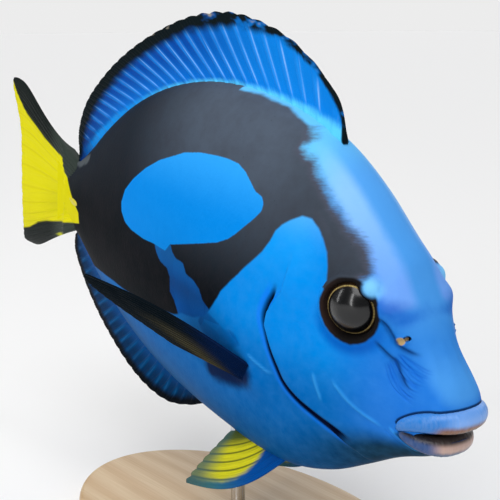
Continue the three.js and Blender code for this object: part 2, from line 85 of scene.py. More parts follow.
HALF_WIDTH = [
    (4, 7.6), (10, 9.2), (16, 10.8), (22, 12.7), (32, 15), (45, 17.4), (60, 18.9), (78, 19.4), (98, 18.6),
    (120, 16.4), (140, 13.4), (160, 9.7), (176, 6.8), (186, 5), (193, 3.4), (199, 1.9), (203, 0.9),
    (207, 0.1),
]
WIDEST = [(4, -19), (14, -17), (30, -9), (50, -4), (80, -3), (120, -2), (160, 0), (207, 0)]
BACK_PINCH = [(4, 0.75), (14, 0.8), (30, 0.88), (55, 1), (90, 1.12), (140, 1.2), (207, 1.25)]
BELLY_PINCH = [(4, 0.85), (14, 0.8), (40, 0.82), (75, 0.92), (110, 1.08), (150, 1.2), (207, 1.25)]

# Swellings of the head's side: behind the snout, height, reach along, reach up, rise.
HEAD_SWELLINGS = [
    (31, 7, 10, 10, 1), (30, 19, 9, 5, 0.1), (43, -14, 12, 12, 0.9), (23.8, 8.2, 4.5, 3.6, 2.3),
    (16, -4, 5, 6, -1.3),
]
GILL_EDGE = [
    (46, 75), (50, 46), (52.5, 24), (54.8, 5), (59.4, -2), (60.4, -7), (58.4, -12.5), (54.8, -17.5),
    (49.8, -21.8), (44.6, -25), (38.7, -28.6), (31, -34), (24, -48),
]
GILL_GROOVE = [
    (57.3, 6.7), (58.6, 2.8), (60.5, -0.7), (61.4, -4.7), (59.8, -8.6), (57.9, -12.5), (55.1, -16.8),
    (52.4, -20.6), (48.2, -23.6), (42.6, -26.1), (37.3, -28.4), (33.7, -30.2), (31, -31.4),
]

EYE = {"s": 34.3, "z": 5.4, "centre": 11.8, "radius": 7.3, "depth": 5.2, "forward": 23, "up": -4}
RIM = {"radius": 7.7, "tube": 1.3, "out": 2.0}
BROW_KNOB = {"s": 30, "y": 11.3, "z": 11.2, "radius": 3.3}
UPPER_LIP = {
    "front_s": 4.8, "corner_s": 17.6, "front_z": -17.2, "corner_z": -21, "half_span": 11,
    "high": 2.9, "deep": 2.4, "square": 0.82, "droop": 2.2,
}
LOWER_LIP = {
    "front_s": 7.9, "corner_s": 18, "front_z": -24.8, "corner_z": -23, "half_span": 9,
    "high": 2.6, "deep": 2.5, "square": 0.82, "droop": 1.3,
}
# Fine folds across the lips: how many radians along half a lip, and how high.
LIP_CRINKLES = [(46, 0.025), (75, 0.018), (113, 0.012)]
MOUTH_SLIT = {"front_s": -6, "rear_s": 16.5, "half_span": 13, "z": -20.6, "high": 2.4, "droop": 3.2}

# Markings, as outlines seen from the side.
FOREHEAD_BORDER = [
    (75, 49.3), (66.5, 46.4), (63, 45.4), (60, 43.2), (62, 41.2), (60, 39.6), (56.5, 38.4), (53.6, 35.2),
    (49.9, 32.3), (46.4, 29.3), (42.7, 26.4), (39.5, 24.3), (36, 22.3), (33.6, 20.1), (31.7, 17.5),
    (30.1, 14.8),
]
CHEEK_BORDER = [
    (41.1, 10.2), (42.1, 14.5), (43.3, 17.4), (45.5, 20.5), (47.6, 22.8), (50.2, 24.6), (53.3, 24.7),
    (55.8, 23.5), (58.9, 21.5), (60.8, 19.4), (62, 16.5), (64.4, 12.8), (69.9, 7.5), (75.3, 2.1),
    (79.7, -2.2), (82.9, -6.8), (85.5, -10),
]
LOWER_BORDER = [
    (88.3, -12.3), (94, -14.3), (100.2, -14.9), (104.6, -16.8), (109.2, -17.4), (113.9, -18.1),
    (121.5, -18.7), (131.1, -19.3), (141.7, -20.1), (151.7, -20.1), (171.8, -21), (184, -24),
]
BLACK_AREA = [
    *FOREHEAD_BORDER, (31, 9), (36, 7), *CHEEK_BORDER, *LOWER_BORDER,
    (215, -40), (215, 60), (120, 75), (100, 60), (96.6, 51.3), (87.5, 51.1), (80.9, 50.1),
]
OVAL = [
    (142.8, 9.4), (140.9, 13.9), (136.1, 18.3), (128.7, 23.2), (120.7, 27.2), (112.9, 29.9), (107.7, 31.8),
    (99.5, 33.2), (91.6, 33.7), (86.6, 33.8), (81.4, 33.3), (77.6, 31.8), (74.3, 29.5), (71.6, 27.6),
    (68.7, 26.8), (67.4, 25.1), (67.5, 23.2), (69.5, 20.9), (73, 17.7), (76.1, 15), (78.8, 13.1), (83.4, 11),
    (90.1, 9.1), (99.1, 6.7), (107.7, 4.4), (110.1, 1.9), (112.3, 1.9), (117.6, 2.2), (124.4, 1.9),
    (133.7, 2.5), (138.8, 3.8), (142.1, 6.6),
]
STRAND = [
    (117.6, 3.2), (115.6, -0.1), (113, -2.2), (108.6, -3.2), (106.8, -5.5), (106.8, -10), (104.2, -12.1),
    (101.5, -17), (86, -14), (84, -9.7), (88.3, -7.4), (90.2, -4.6), (93.1, -2.8), (97.5, -1.9), (99.4, 0.9),
    (103.6, 1.2), (105.8, 2.5), (107.6, 5.2), (112, 6),
]
YELLOW_AREA = [
    (199.1, 13.2), (198.6, 9.3), (195, 5.4), (189.6, 1.4), (185.7, -1), (182, -3.5), (182.1, -7.5),
    (192, -9.8), (203.5, -12), (210.8, -13.7), (217, -14.9), (224.3, -17.1), (231.7, -20.8), (240.6, -23.5),
    (255, -27), (255, 42), (243, 37), (238.7, 31.5), (231.4, 24.8), (224.1, 21.2), (217, 17.4), (209.6, 14.8),
    (204.1, 13.6),
]

# Creases of the head: path from the side, half width, depth (a ridge where it is negative).
CREASES = [
    (
        [(25.6, 5.6), (23.5, 3.7), (22.3, 1.9), (20.3, -0.8), (18.6, -2), (16.6, -2.7), (14.8, -2.9)],
        0.45, 0.6,
    ),
    (
        [(25.8, -0.4), (24.4, -1.6), (22.4, -3.2), (20.1, -5.1), (18.4, -7.9), (16.7, -10), (14.4, -11.6)],
        0.4, 0.45,
    ),
    ([(14.6, 2), (11, -4.2), (8.1, -8.5), (5.6, -13)], 0.9, 0.3),
    (
        [(36.5, -13.6), (34.9, -15.5), (31.7, -18.4), (29.4, -19.8), (26.9, -21), (23.8, -22), (20.9, -23.4)],
        0.5, -0.3,
    ),
    ([(42, -13.5), (41.2, -16.4), (40, -19.3), (39.2, -21.7)], 0.45, -0.22),
    ([(20.2, -21.9), (17.8, -24), (15.2, -26.2), (12.6, -27.6)], 0.4, -0.32),
    ([(18.6, -23), (16.4, -25.2), (13.4, -26.8)], 0.3, 0.35),
    ([(21.4, -23.2), (18.8, -25.6), (16, -27.8)], 0.35, 0.25),
    ([(68.1, -16.6), (64.4, -17.8), (61.5, -18.6), (59.2, -19.3), (56.8, -19.1)], 0.4, -0.3),
]
# Middle of the pale band that runs down beside the forehead's ridge: a painted highlight along the ridge over
# the fish's own paler blue.
FOREHEAD_HIGHLIGHT_BAND = [
    (61, 46), (55, 41), (48.6, 35.7), (42.6, 30.5), (36.1, 24.3), (30, 18.6), (26, 14.6), (23.9, 11.9),
    (22.1, 9.8),
]
# Mottled darker blue between the strand and the pectoral fin.
STRAND_FOOT = [
    (89.7, -10.4), (85.1, -10.2), (81.2, -11.7), (76.9, -12.8), (72.4, -12.6), (70.7, -15.3), (76.3, -19.3),
    (82.1, -19.4), (87, -18.2), (91, -14.8),
]
# Painted shadow round the foot of the pectoral fin, over the fin's own dark fleshy base.
PECTORAL_SHADE = [(69.5, -23.5), (76, -26), (85, -27)]
# Worn, pale skin at the rear end of the dorsal fin.
PALE_PATCH = [(191, 13.2), (185.5, 13.8), (179, 16.5)]
# Shaded hollow under the brow, before the eye.
BROW_HOLLOW = [(25, 8), (22.6, 7.2), (20.4, 5.6)]
# The skin's areas are kept as signed distances, and its lines as plain ones.
AREAS = {"black": BLACK_AREA, "oval": OVAL, "strand": STRAND, "foot": STRAND_FOOT, "yellow": YELLOW_AREA}
LINES = {"pectoral_shadow": PECTORAL_SHADE, "pale": PALE_PATCH, "highlight_band": FOREHEAD_HIGHLIGHT_BAND, "hollow": BROW_HOLLOW}
# Fine wrinkles of the snout fan out between these two paths.
WRINKLE_FIRST = [(19.8, -2.6), (16.9, -4.4), (13.9, -5.6), (10.9, -5.8)]
WRINKLE_LAST = [(22.3, -5.2), (19.9, -10.4), (16.6, -13.4), (12.8, -14.4)]
WRINKLES = 15
FRONT_NOSTRIL = {"s": 18.8, "z": 0.9, "radius": 0.7}
REAR_NOSTRIL = {"s": 19.9, "z": 0.1, "radius": 0.95}
PECTORAL_LOBE = {"s": 64.5, "z": -24, "along": 6, "up": 5, "rise": 1.3}

RING_POINTS = 440

# Where the photo was taken from, in the fish's own frame.
CAMERA = (-151.66, -199.45, 90.63)
CAMERA_LOOKS = (-0.76567, 0.61180, -0.19863)
CAMERA_UP = (-0.1528, 0.1270, 0.9801)
CAMERA_LENS = 79.2

# Lights: name, strength, spread in degrees and where it comes from; then the lamps that shine in
# the eyes: name, place, width, height, power and what it points at.
SUNS = [("overhead", 2.15, 50, (0.35, -0.3, 0.9)), ("rear", 0.8, 60, (-0.5, 0.75, 0.5))]
LAMPS = [
    ("key", (0.3, -0.78, 0.42), 0.09, 0.7, 1.9, (0.05, -0.02, 0.1)),
    ("side", (-0.45, -0.6, 0.4), 0.05, 0.5, 0.7, (0.05, -0.02, 0.09)),
]
WORLD_LIGHT = 0.2
WORLD_SHOWN = 0.84
FLOOR_HALF = 30.0


def through(points):
    """A smooth curve through (place, value) points, as a function of an array of places."""
    place, value = np.array(points, float).T
    last = len(place) - 1
    before = np.maximum(np.arange(last + 1) - 1, 0)
    after = np.minimum(np.arange(last + 1) + 1, last)
    slope = (value[after] - value[before]) / (place[after] - place[before])

    def curve(x):
        x = np.clip(x, place[0], place[-1])
        i = np.clip(np.searchsorted(place, x), 1, last)
        width = place[i] - place[i - 1]
        t = (x - place[i - 1]) / width
        u = 1 - t
        bulge = slope[i - 1] * width * u * u * t - slope[i] * width * t * t * u
        return value[i - 1] * (1 + 2 * t) * u * u + value[i] * (3 - 2 * t) * t * t + bulge

    return curve


back = through(BACK)
belly = through(BELLY)
half_width = through(HALF_WIDTH)
widest = through(WIDEST)
back_pinch = through(BACK_PINCH)
belly_pinch = through(BELLY_PINCH)
SNOUT_AHEAD = ROD_S * math.cos(PITCH_DOWN) - float(belly(ROD_S)) * math.sin(PITCH_DOWN)


def fade(value, low, high):
    """0 below low, 1 above high and smooth between."""
    t = np.clip((value - low) / (high - low), 0, 1)
    return t * t * (3 - 2 * t)


def lerp(a, b, t):
    return a + (b - a) * t


def smooth_path(points, samples=12):
    """Centripetal Catmull-Rom curve through points of any dimension, as a fine polyline."""
    p = np.array(points, float)
    p = np.vstack([2 * p[0] - p[1], p, 2 * p[-1] - p[-2]])
    fine = []
    for a, b, c, d in zip(p, p[1:], p[2:], p[3:]):
        knots = np.cumsum([0] + [np.linalg.norm(q) ** 0.5 for q in (b - a, c - b, d - c)])
        t = np.linspace(knots[1], knots[2], samples, endpoint=False)[:, None]

        def between(first, second, i, j):
            return ((knots[j] - t) * first + (t - knots[i]) * second) / (knots[j] - knots[i])

        ab, bc, cd = between(a, b, 0, 1), between(b, c, 1, 2), between(c, d, 2, 3)
        fine.append(between(between(ab, bc, 0, 2), between(bc, cd, 1, 3), 1, 2))
    return np.vstack([*fine, p[-2]])


def near_path(path, s, z):
    """Distance to a polyline and the share of its length at the nearest place."""
    path = np.array(path, float)
    steps = np.linalg.norm(np.diff(path, axis=0), axis=1)
    walked = np.concatenate([[0], np.cumsum(steps)])
    nearest = np.full(s.shape, 1e9)
    share = np.zeros(s.shape)
    for (s0, z0), (s1, z1), start, step in zip(path, path[1:], walked, steps):
        ds, dz = s1 - s0, z1 - z0
        along = np.clip(((s - s0) * ds + (z - z0) * dz) / (ds * ds + dz * dz), 0, 1)
        distance = np.hypot(s - s0 - along * ds, z - z0 - along * dz)
        closer = distance < nearest
        nearest = np.where(closer, distance, nearest)
        share = np.where(closer, (start + along * step) / walked[-1], share)
    return nearest, share


def distance_to(path, s, z):
    return near_path(path, s, z)[0]


def inside_by(outline, s, z):
    """Signed distance to a closed outline, positive inside."""
    nearest = distance_to([*outline, outline[0]], s, z)
    inside = np.zeros(s.shape, bool)
    for (s0, z0), (s1, z1) in zip(outline, [*outline[1:], outline[0]]):
        if z0 != z1:
            crosses = (z0 > z) != (z1 > z)
            inside ^= crosses & (s < s0 + (z - z0) * (s1 - s0) / (z1 - z0))
    return np.where(inside, nearest, -nearest)


def to_world(points):
    """From the fish's own (s, y, z) in millimetres to the model's frame in metres."""
    s, y, z = np.moveaxis(np.asarray(points, float), -1, 0)
    cos, sin = math.cos(PITCH_DOWN), math.sin(PITCH_DOWN)
    world = [SNOUT_AHEAD - cos * s + sin * z, y, SNOUT_HEIGHT + sin * s + cos * z]
    return np.stack(world, -1) * MM


def to_fish(points):
    x, y, z = np.moveaxis(np.asarray(points, float) / MM, -1, 0)
    cos, sin = math.cos(PITCH_DOWN), math.sin(PITCH_DOWN)
    x, z = x - SNOUT_AHEAD, z - SNOUT_HEIGHT
    return -(cos * x - sin * z), y, sin * x + cos * z


def mesh_object(name, points, faces, materials=(), fields=None):
    """A smooth-shaded object from world points and faces, with a float field per point."""
    mesh = bpy.data.meshes.new(name)
    mesh.from_pydata(np.asarray(points).tolist(), [], [list(face) for face in faces])
    obj = bpy.data.objects.new(name, mesh)
    bpy.context.scene.collection.objects.link(obj)
    finish_mesh(mesh, materials, fields or {})
    return obj


def finish_mesh(mesh, materials, fields, sharp=None):
    for material in materials:
        mesh.materials.append(material)
    for name, values in fields.items():
        layer = mesh.attributes.new(name, "FLOAT", "POINT")
        layer.data.foreach_set("value", np.asarray(values, np.float32).ravel())
    mesh.shade_smooth()
    if sharp:
        mesh.set_sharp_from_angle(angle=math.radians(sharp))
    mesh.update()


def grid_faces(rows, columns, closed):
    """Quads between neighbouring points of a grid, whose columns may close in a ring."""
    i = np.arange(rows - 1)[:, None]
    j = np.arange(columns if closed else columns - 1)[None, :]
    nxt = (j + 1) % columns
    quads = np.stack(
        [i * columns + j, (i + 1) * columns + j, (i + 1) * columns + nxt, i * columns + nxt], -1
    )
    return quads.reshape(-1, 4)


def normals_of(grid, closed):
    """Outward-consistent unit normals of a grid of points."""
    if closed:
        along_ring = np.roll(grid, -1, 1) - np.roll(grid, 1, 1)
    else:
        along_ring = np.gradient(grid, axis=1)
    normal = np.cross(along_ring, np.gradient(grid, axis=0))
    return normal / np.maximum(np.linalg.norm(normal, axis=-1, keepdims=True), 1e-9)


# The skin


def reach_from_widest(s, above):
    """Height from where the body is widest up to the back, or down to the belly."""
    return np.where(above, back(s) - widest(s), widest(s) - belly(s))


def pinch_at(s, above):
    return np.where(above, back_pinch(s), belly_pinch(s))


def front_of_gill(s, z):
    """Signed distance to the gill cover's rear edge, positive on the head."""
    nearest = distance_to(GILL_EDGE, s, z)
    head = inside_by([(-20, 75), *GILL_EDGE, (24, -80), (-20, -80)], s, z) > 0
    return np.where(head, nearest, -nearest)


def side_relief(s, z):
    """How far the head's side stands out from the plain loft."""
    rise = np.zeros(s.shape)
    for at, height, along, up, amount in HEAD_SWELLINGS:
        rise += amount * np.exp(-(((s - at) / along) ** 2) - ((z - height) / up) ** 2)
    rise += np.exp(-((distance_to(GILL_EDGE[3:12], s, z) / GILL_FLARE_REACH) ** 2))
    return rise * fade(front_of_gill(s, z), -0.5, 0.5)


def fine_relief(s, z):
    """Grooves, creases and pits of the head, and the lobe that carries the pectoral fin."""
    groove, share = near_path(smooth_path(GILL_GROOVE, 4), s, z)
    ends = fade(share, 0, 0.12) * (1 - fade(share, 0.9, 1))
    rise = -1.5 * ends * np.exp(-((groove / 0.75) ** 2))
    for path, width, depth in [*CREASES, *wrinkle_paths()]:
        rise -= crease(path, width, depth, s, z)
    for nostril, depth, lip in ((FRONT_NOSTRIL, 1.2, 0.12), (REAR_NOSTRIL, 0.4, 0.3)):
        away = np.hypot(s - nostril["s"], z - nostril["z"]) / nostril["radius"]
        rise += lip * np.exp(-(((away - 1.15) / 0.3) ** 2)) - depth * (1 - fade(away, 0.35, 1))
    lobe = PECTORAL_LOBE
    rise += lobe["rise"] * np.exp(
        -(((s - lobe["s"]) / lobe["along"]) ** 2) - ((z - lobe["z"]) / lobe["up"]) ** 2
    )
    return rise


def crease(path, width, depth, s, z):
    fine = smooth_path(path, 5)
    result = np.zeros(s.shape)
    low, high = fine.min(0) - 3 * width, fine.max(0) + 3 * width
    close = (s > low[0]) & (s < high[0]) & (z > low[1]) & (z < high[1])
    nearest, share = near_path(fine, s[close], z[close])
    ends = fade(share, 0, 0.15) * (1 - fade(share, 0.75, 1))
    result[close] = depth * ends * np.exp(-((nearest / width) ** 2))
    return result


def wrinkle_paths():
    """Fine wrinkles between the first and the last one, each a little off the even spacing."""
    random = np.random.default_rng(7)
    first, last = np.array(WRINKLE_FIRST), np.array(WRINKLE_LAST)
    for k in range(WRINKLES):
        share = (k + random.uniform(-0.25, 0.25)) / (WRINKLES - 1)
        path = lerp(first, last, share) + random.normal(0, 0.15, first.shape)
        yield path, random.uniform(0.18, 0.26), random.uniform(0.14, 0.28)


def skin_stations():
    cap = SNOUT + MUZZLE_ROUND * (1 - np.cos(np.linspace(0.01, math.pi / 2, 26)))
    spans = [(9.2, 28, 0.2), (28, 66, 0.3), (66, 187, 0.85), (187, STALK_END, 0.5)]
    return np.concatenate([cap, *[np.arange(a, b, step) for a, b, step in spans], [STALK_END]])


def loft():
    """The whole body as rings of points, without sockets or lips."""
    s, turn = np.meshgrid(skin_stations(), np.arange(RING_POINTS) * 2 * math.pi / RING_POINTS, indexing="ij")
    turn = turn - 0.25 * np.sin(2 * turn)
    rounding = np.sqrt(1 - (1 - np.minimum(1, (s - SNOUT) / MUZZLE_ROUND)) ** 2)
    up, side = np.sin(turn), np.cos(turn)
    above = up > 0
    y = np.sign(side) * np.abs(side) ** pinch_at(s, above) * half_width(s)
    z = widest(s) + up * reach_from_widest(s, above)
    y = y + side_relief(s, z) * np.sign(y) * np.minimum(1, np.abs(y) / MIDLINE_BLEND)
    z = MUZZLE_MIDDLE + (z - MUZZLE_MIDDLE) * rounding
    chin = CHIN_SHARE * (1 - fade(s, SNOUT, CHIN_END)) * np.maximum(0, MUZZLE_MIDDLE - z)
    grid = np.stack([s + chin, y * rounding, z], -1)
    outward = normals_of(grid, True)
    outward *= np.sign((outward[..., 1] * side + outward[..., 2] * up).sum())
    flank = fade(np.abs(grid[..., 1]), 1, 4) * fade(s, 5, 9)
    return grid + outward * (fine_relief(grid[..., 0], grid[..., 2]) * flank)[..., None]


def eye_axis(side):
    forward, up = math.radians(EYE["forward"]), math.radians(EYE["up"])
    looks = np.array([-math.sin(forward), side * math.cos(forward), math.sin(up)])
    return looks / np.linalg.norm(looks), np.array([EYE["s"], side * EYE["centre"], EYE["z"]])


def eye_place(points, side):
    """Distance from the eye's axis and height along it."""
    looks, centre = eye_axis(side)
    offset = points - centre
    height = offset @ looks
    return np.linalg.norm(offset - height[..., None] * looks, axis=-1), height


def ball_height(radius):
    return EYE["depth"] * np.sqrt(np.clip(1 - (radius / EYE["radius"]) ** 2, 0, 1))


def set_sockets(grid):
    """Raises the rim of each orbit and sinks the skin behind the eye."""
    for side in (1, -1):
        looks, _ = eye_axis(side)
        radius, height = eye_place(grid, side)
        tube = np.clip(1 - ((radius - RIM["radius"]) / (RIM["tube"] + 0.5)) ** 2, 0, 1)
        rim = RIM["out"] + RIM["tube"] * np.sqrt(tube) - 6 * (1 - fade(tube, 0, 0.25))
        gap = np.clip(0.5 + (rim - height) / 2.4, 0, 1)
        raised = lerp(height, rim, gap) + 1.2 * gap * (1 - gap)
        sunk = ball_height(radius) - 0.5
        wall = fade(radius, 6.7, 7.5)
        dome = knob_height(grid, side)
        gap = np.clip(0.5 + (dome - raised) / 1.6, 0, 1)
        raised = lerp(raised, dome, gap) + 0.8 * gap * (1 - gap)
        over = fade(dome - ball_height(radius), 0.1, 0.5)
        wanted = lerp(np.minimum(sunk, raised), raised, np.maximum(wall, over))
        near = (radius < 11) & (grid[..., 1] * side > 0)
        grid = grid + np.where(near, wanted - height, 0)[..., None] * looks
    return grid


def knob_height(points, side):
    """Height of the ball of the brow over the eye's middle, along the way the eye looks."""
    looks, centre = eye_axis(side)
    knob = BROW_KNOB
    middle = np.array([knob["s"], side * knob["y"], knob["z"]])
    offset = points - middle
    beside = np.linalg.norm(offset - (offset @ looks)[..., None] * looks, axis=-1)
    dome = knob["radius"] * np.sqrt(np.clip(1 - (beside / knob["radius"]) ** 2, 0, 1))
    return dome + (middle - centre) @ looks - 6 * fade(beside, 0.9 * knob["radius"], 1.6 * knob["radius"])


def lip_frame(lip, turn):
    """Centre line, outward direction and fullness of a lip at turns from -90 to 90 degrees."""
    rear = 1 - np.cos(turn)
    centre = np.stack(
        [
            lerp(lip["front_s"], lip["corner_s"], rear),
            lip["half_span"] * np.sign(turn) * np.abs(np.sin(turn)) ** lip["square"],
            lerp(lip["front_z"], lip["corner_z"], rear ** lip["droop"]),
        ],
        -1,
    )
    out = np.stack([-np.cos(turn), np.sin(turn), 0 * turn], -1)
    full = 0.3 + 0.7 * np.clip(np.cos(turn), 0, 1) ** 0.45
    return centre, out, full


def lip_roll(lip, material, seed):
    steps, sides = 240, 48
    turn = np.linspace(-math.pi / 2, math.pi / 2, steps)
    centre, out, full = lip_frame(lip, turn)
    full = full * (1 - np.clip(np.abs(turn) / (math.pi / 2), 0, 1) ** 60)
    full[[0, -1]] = 0.05
    around = np.arange(sides) * 2 * math.pi / sides
    random = np.random.default_rng(seed)
    crinkle = 0
    for k, (count, amount) in enumerate(LIP_CRINKLES):
        wave = np.sin(count * turn + random.uniform(0, 6))[:, None]
        crinkle = crinkle + amount * wave * (0.6 + 0.4 * np.cos(around + k))
    deep = (lip["deep"] * full)[:, None] + crinkle * full[:, None]
    high = (lip["high"] * full)[:, None] + crinkle * full[:, None]
    grid = centre[:, None] + out[:, None] * (deep * np.cos(around))[..., None]
    grid[..., 2] += high * np.sin(around)
    return tube("lip", to_world(grid), material)


def closed_object(name, points, faces, material, fields=None):
    """An object whose faces look outward."""
    obj = mesh_object(name, points, faces, [material], fields)
    if signed_volume(obj.data) < 0:
        obj.data.flip_normals()
    return obj


def tube(name, points, material, fields=None):
    """A closed object over a grid of world points, whose columns go round, with capped ends."""
    rows, columns = points.shape[:2]
    last = rows * columns - 1
    faces = [*grid_faces(rows, columns, True), range(columns), range(last, last - columns, -1)]
    return closed_object(name, points.reshape(-1, 3), faces, material, fields)


def signed_volume(mesh):
    mesh.calc_loop_triangles()
    points = np.zeros(len(mesh.vertices) * 3)
    mesh.vertices.foreach_get("co", points)
    corners = np.zeros(len(mesh.loop_triangles) * 3, int)
    mesh.loop_triangles.foreach_get("vertices", corners)
    a, b, c = points.reshape(-1, 3)[corners.reshape(-1, 3)].transpose(1, 0, 2)
    return np.einsum("ij,ij->i", a, np.cross(b, c)).sum()


def combine(obj, tool, operation):
    """Joins a closed tool to obj, or cuts it out of it, and removes the tool."""
    modifier = obj.modifiers.new("join", "BOOLEAN")
    modifier.operation = operation
    modifier.solver = "MANIFOLD"
    modifier.material_mode = "TRANSFER"
    modifier.object = tool
    graph = bpy.context.evaluated_depsgraph_get()
    made = bpy.data.meshes.new_from_object(obj.evaluated_get(graph))
    obj.modifiers.clear()
    obj.data = made
    bpy.data.objects.remove(tool)


def mouth_slit(material):
    along, across = 40, 80
    tilt = np.linspace(-math.pi / 2 + 0.02, math.pi / 2 - 0.02, along)
    tilt, turn = np.meshgrid(tilt, np.arange(across) * 2 * math.pi / across, indexing="ij")
    slit = MOUTH_SLIT
    middle, half = (slit["rear_s"] + slit["front_s"]) / 2, (slit["rear_s"] - slit["front_s"]) / 2
    grid = np.stack(
        [
            middle + half * np.cos(tilt) * np.cos(turn),
            slit["half_span"] * np.cos(tilt) * np.sin(turn),
            slit["z"] + slit["high"] * np.sin(tilt),
        ],
        -1,
    )
    grid[..., 2] -= slit["droop"] * (grid[..., 1] / slit["half_span"]) ** 2
    return tube("mouth", to_world(grid), material)


def lip_field(lip, points):
    """Distance outside a lip's surface, and the height of the place on the roll from -1 to 1."""
    turn = np.linspace(-math.pi / 2, math.pi / 2, 121)
    centre, out, full = lip_frame(lip, turn)
    distance = np.full(len(points), 30.0)
    lift = np.zeros(len(points))
    near = np.flatnonzero(points[:, 0] < 30)
    for c, o, f in zip(centre, out, full):
        offset = points[near] - c
        ahead = offset @ o
        beside = np.linalg.norm(offset - ahead[:, None] * o - offset[:, 2:] * [0, 0, 1], axis=1)
        size = np.hypot(ahead / (lip["deep"] * f), offset[:, 2] / (lip["high"] * f))
        away = np.hypot((size - 1) * lip["deep"] * f, beside)
        closer = away < distance[near]
        distance[near[closer]] = away[closer]
        lift[near[closer]] = (offset[:, 2] / (lip["high"] * f))[closer]
    return distance, lift


# Centre of the painted highlight on the brow knob, a little behind, outside and above the knob's middle.
def knob_distance(points, side):
    knob = BROW_KNOB
    return np.linalg.norm(points - [knob["s"] - 2.2, side * (knob["y"] + 2), knob["z"] + 1], axis=-1)


def skin_fields(points):
    s, y, z = points.T
    middle = widest(s)
    groove, share = near_path(smooth_path(GILL_GROOVE, 4), s, z)
    fields = {
        **{name: inside_by(area, s, z) for name, area in AREAS.items()},
        **{name: distance_to(path, s, z) for name, path in LINES.items()},
        "feather": 1 - fade(distance_to(FOREHEAD_BORDER[3:], s, z), 2.5, 6),
        "up": np.clip((z - middle) / reach_from_widest(s, z > middle), -1, 1),
        "s": s,
        "z": z,
        "half": np.abs(y),
        "knob": np.minimum(*[knob_distance(points, side) for side in (1, -1)]),
        "groove": np.where(front_of_gill(s, z) > 0, groove, -groove),
        "grooved": fade(share, 0, 0.1) * (1 - fade(share, 0.9, 1)),
        "eye": np.minimum(*[eye_place(points, side)[0] + 30 * (y * side < 0) for side in (1, -1)]),
        "crease_shade": sum(crease(p, w * 1.2, 1, s, z) for p, w, depth in CREASES[:2] + CREASES[6:7]),
        "ridge_highlight": sum(crease(p, w, 1, s, z) for p, w, depth in CREASES if depth < 0),
        "wrinkle_shade": sum(crease(p, w, 1, s, z) for p, w, depth in wrinkle_paths()),
    }
    for name, nostril in (("front", FRONT_NOSTRIL), ("rear", REAR_NOSTRIL)):
        fields[f"{name}_nostril"] = np.hypot(s - nostril["s"], z - nostril["z"])
    for name, lip in (("upper", UPPER_LIP), ("lower", LOWER_LIP)):
        fields[f"{name}_lip"], fields[f"{name}_lift"] = lip_field(lip, points)
    return fields


def make_skin():
    skin = tube("skin", to_world(set_sockets(loft())), skin_material())
    upper, lower = upper_lip_material(), lower_lip_material()
    combine(skin, mouth_slit(mouth_material()), "DIFFERENCE")
    combine(skin, lip_roll(LOWER_LIP, lower, 2), "UNION")
    combine(skin, lip_roll(UPPER_LIP, upper, 1), "UNION")
    mesh = skin.data
    points = np.zeros(len(mesh.vertices) * 3)
    mesh.vertices.foreach_get("co", points)
    fish = np.stack(to_fish(points.reshape(-1, 3)), -1)
    finish_mesh(mesh, [], skin_fields(fish), sharp=60)
    settle(skin, "head", "trunk", "tail_stalk", "upper_lip", "lower_lip", slot="blue_skin")


# Materials


def tone(display):
    """A display colour of 0 to 255 as the linear colour that sockets take."""
    shares = [value / 255 for value in display]
    return (*[s / 12.92 if s <= 0.04 else ((s + 0.055) / 1.055) ** 2.4 for s in shares], 1)


class Wire:
    """An output of a node, with arithmetic that adds Math nodes."""

    def __init__(self, net, socket):
        self.net = net
        self.socket = socket

    def __add__(self, other):
        return self.net.math("ADD", self, other)

    __radd__ = __add__

    def __mul__(self, other):
        return self.net.math("MULTIPLY", self, other)

    def __sub__(self, other):
        return self.net.math("SUBTRACT", self, other)

    def __rsub__(self, other):
        return self.net.math("SUBTRACT", other, self)

    def __truediv__(self, other):
        return self.net.math("DIVIDE", self, other)

    def fade(self, low, high):
        return self.net.node(
            "ShaderNodeMapRange", self, low, high, 0.0, 1.0, interpolation_type="SMOOTHSTEP"
        )

    def bell(self, centre, width):
        """1 at centre, falling to 0 at width away."""
        return 1 - self.net.math("ABSOLUTE", self - centre).fade(0, width)

    def over(self, share, red, green, blue):
        """This colour, covered to a share by a tone."""
        return self.net.mix(share, self, (red, green, blue))


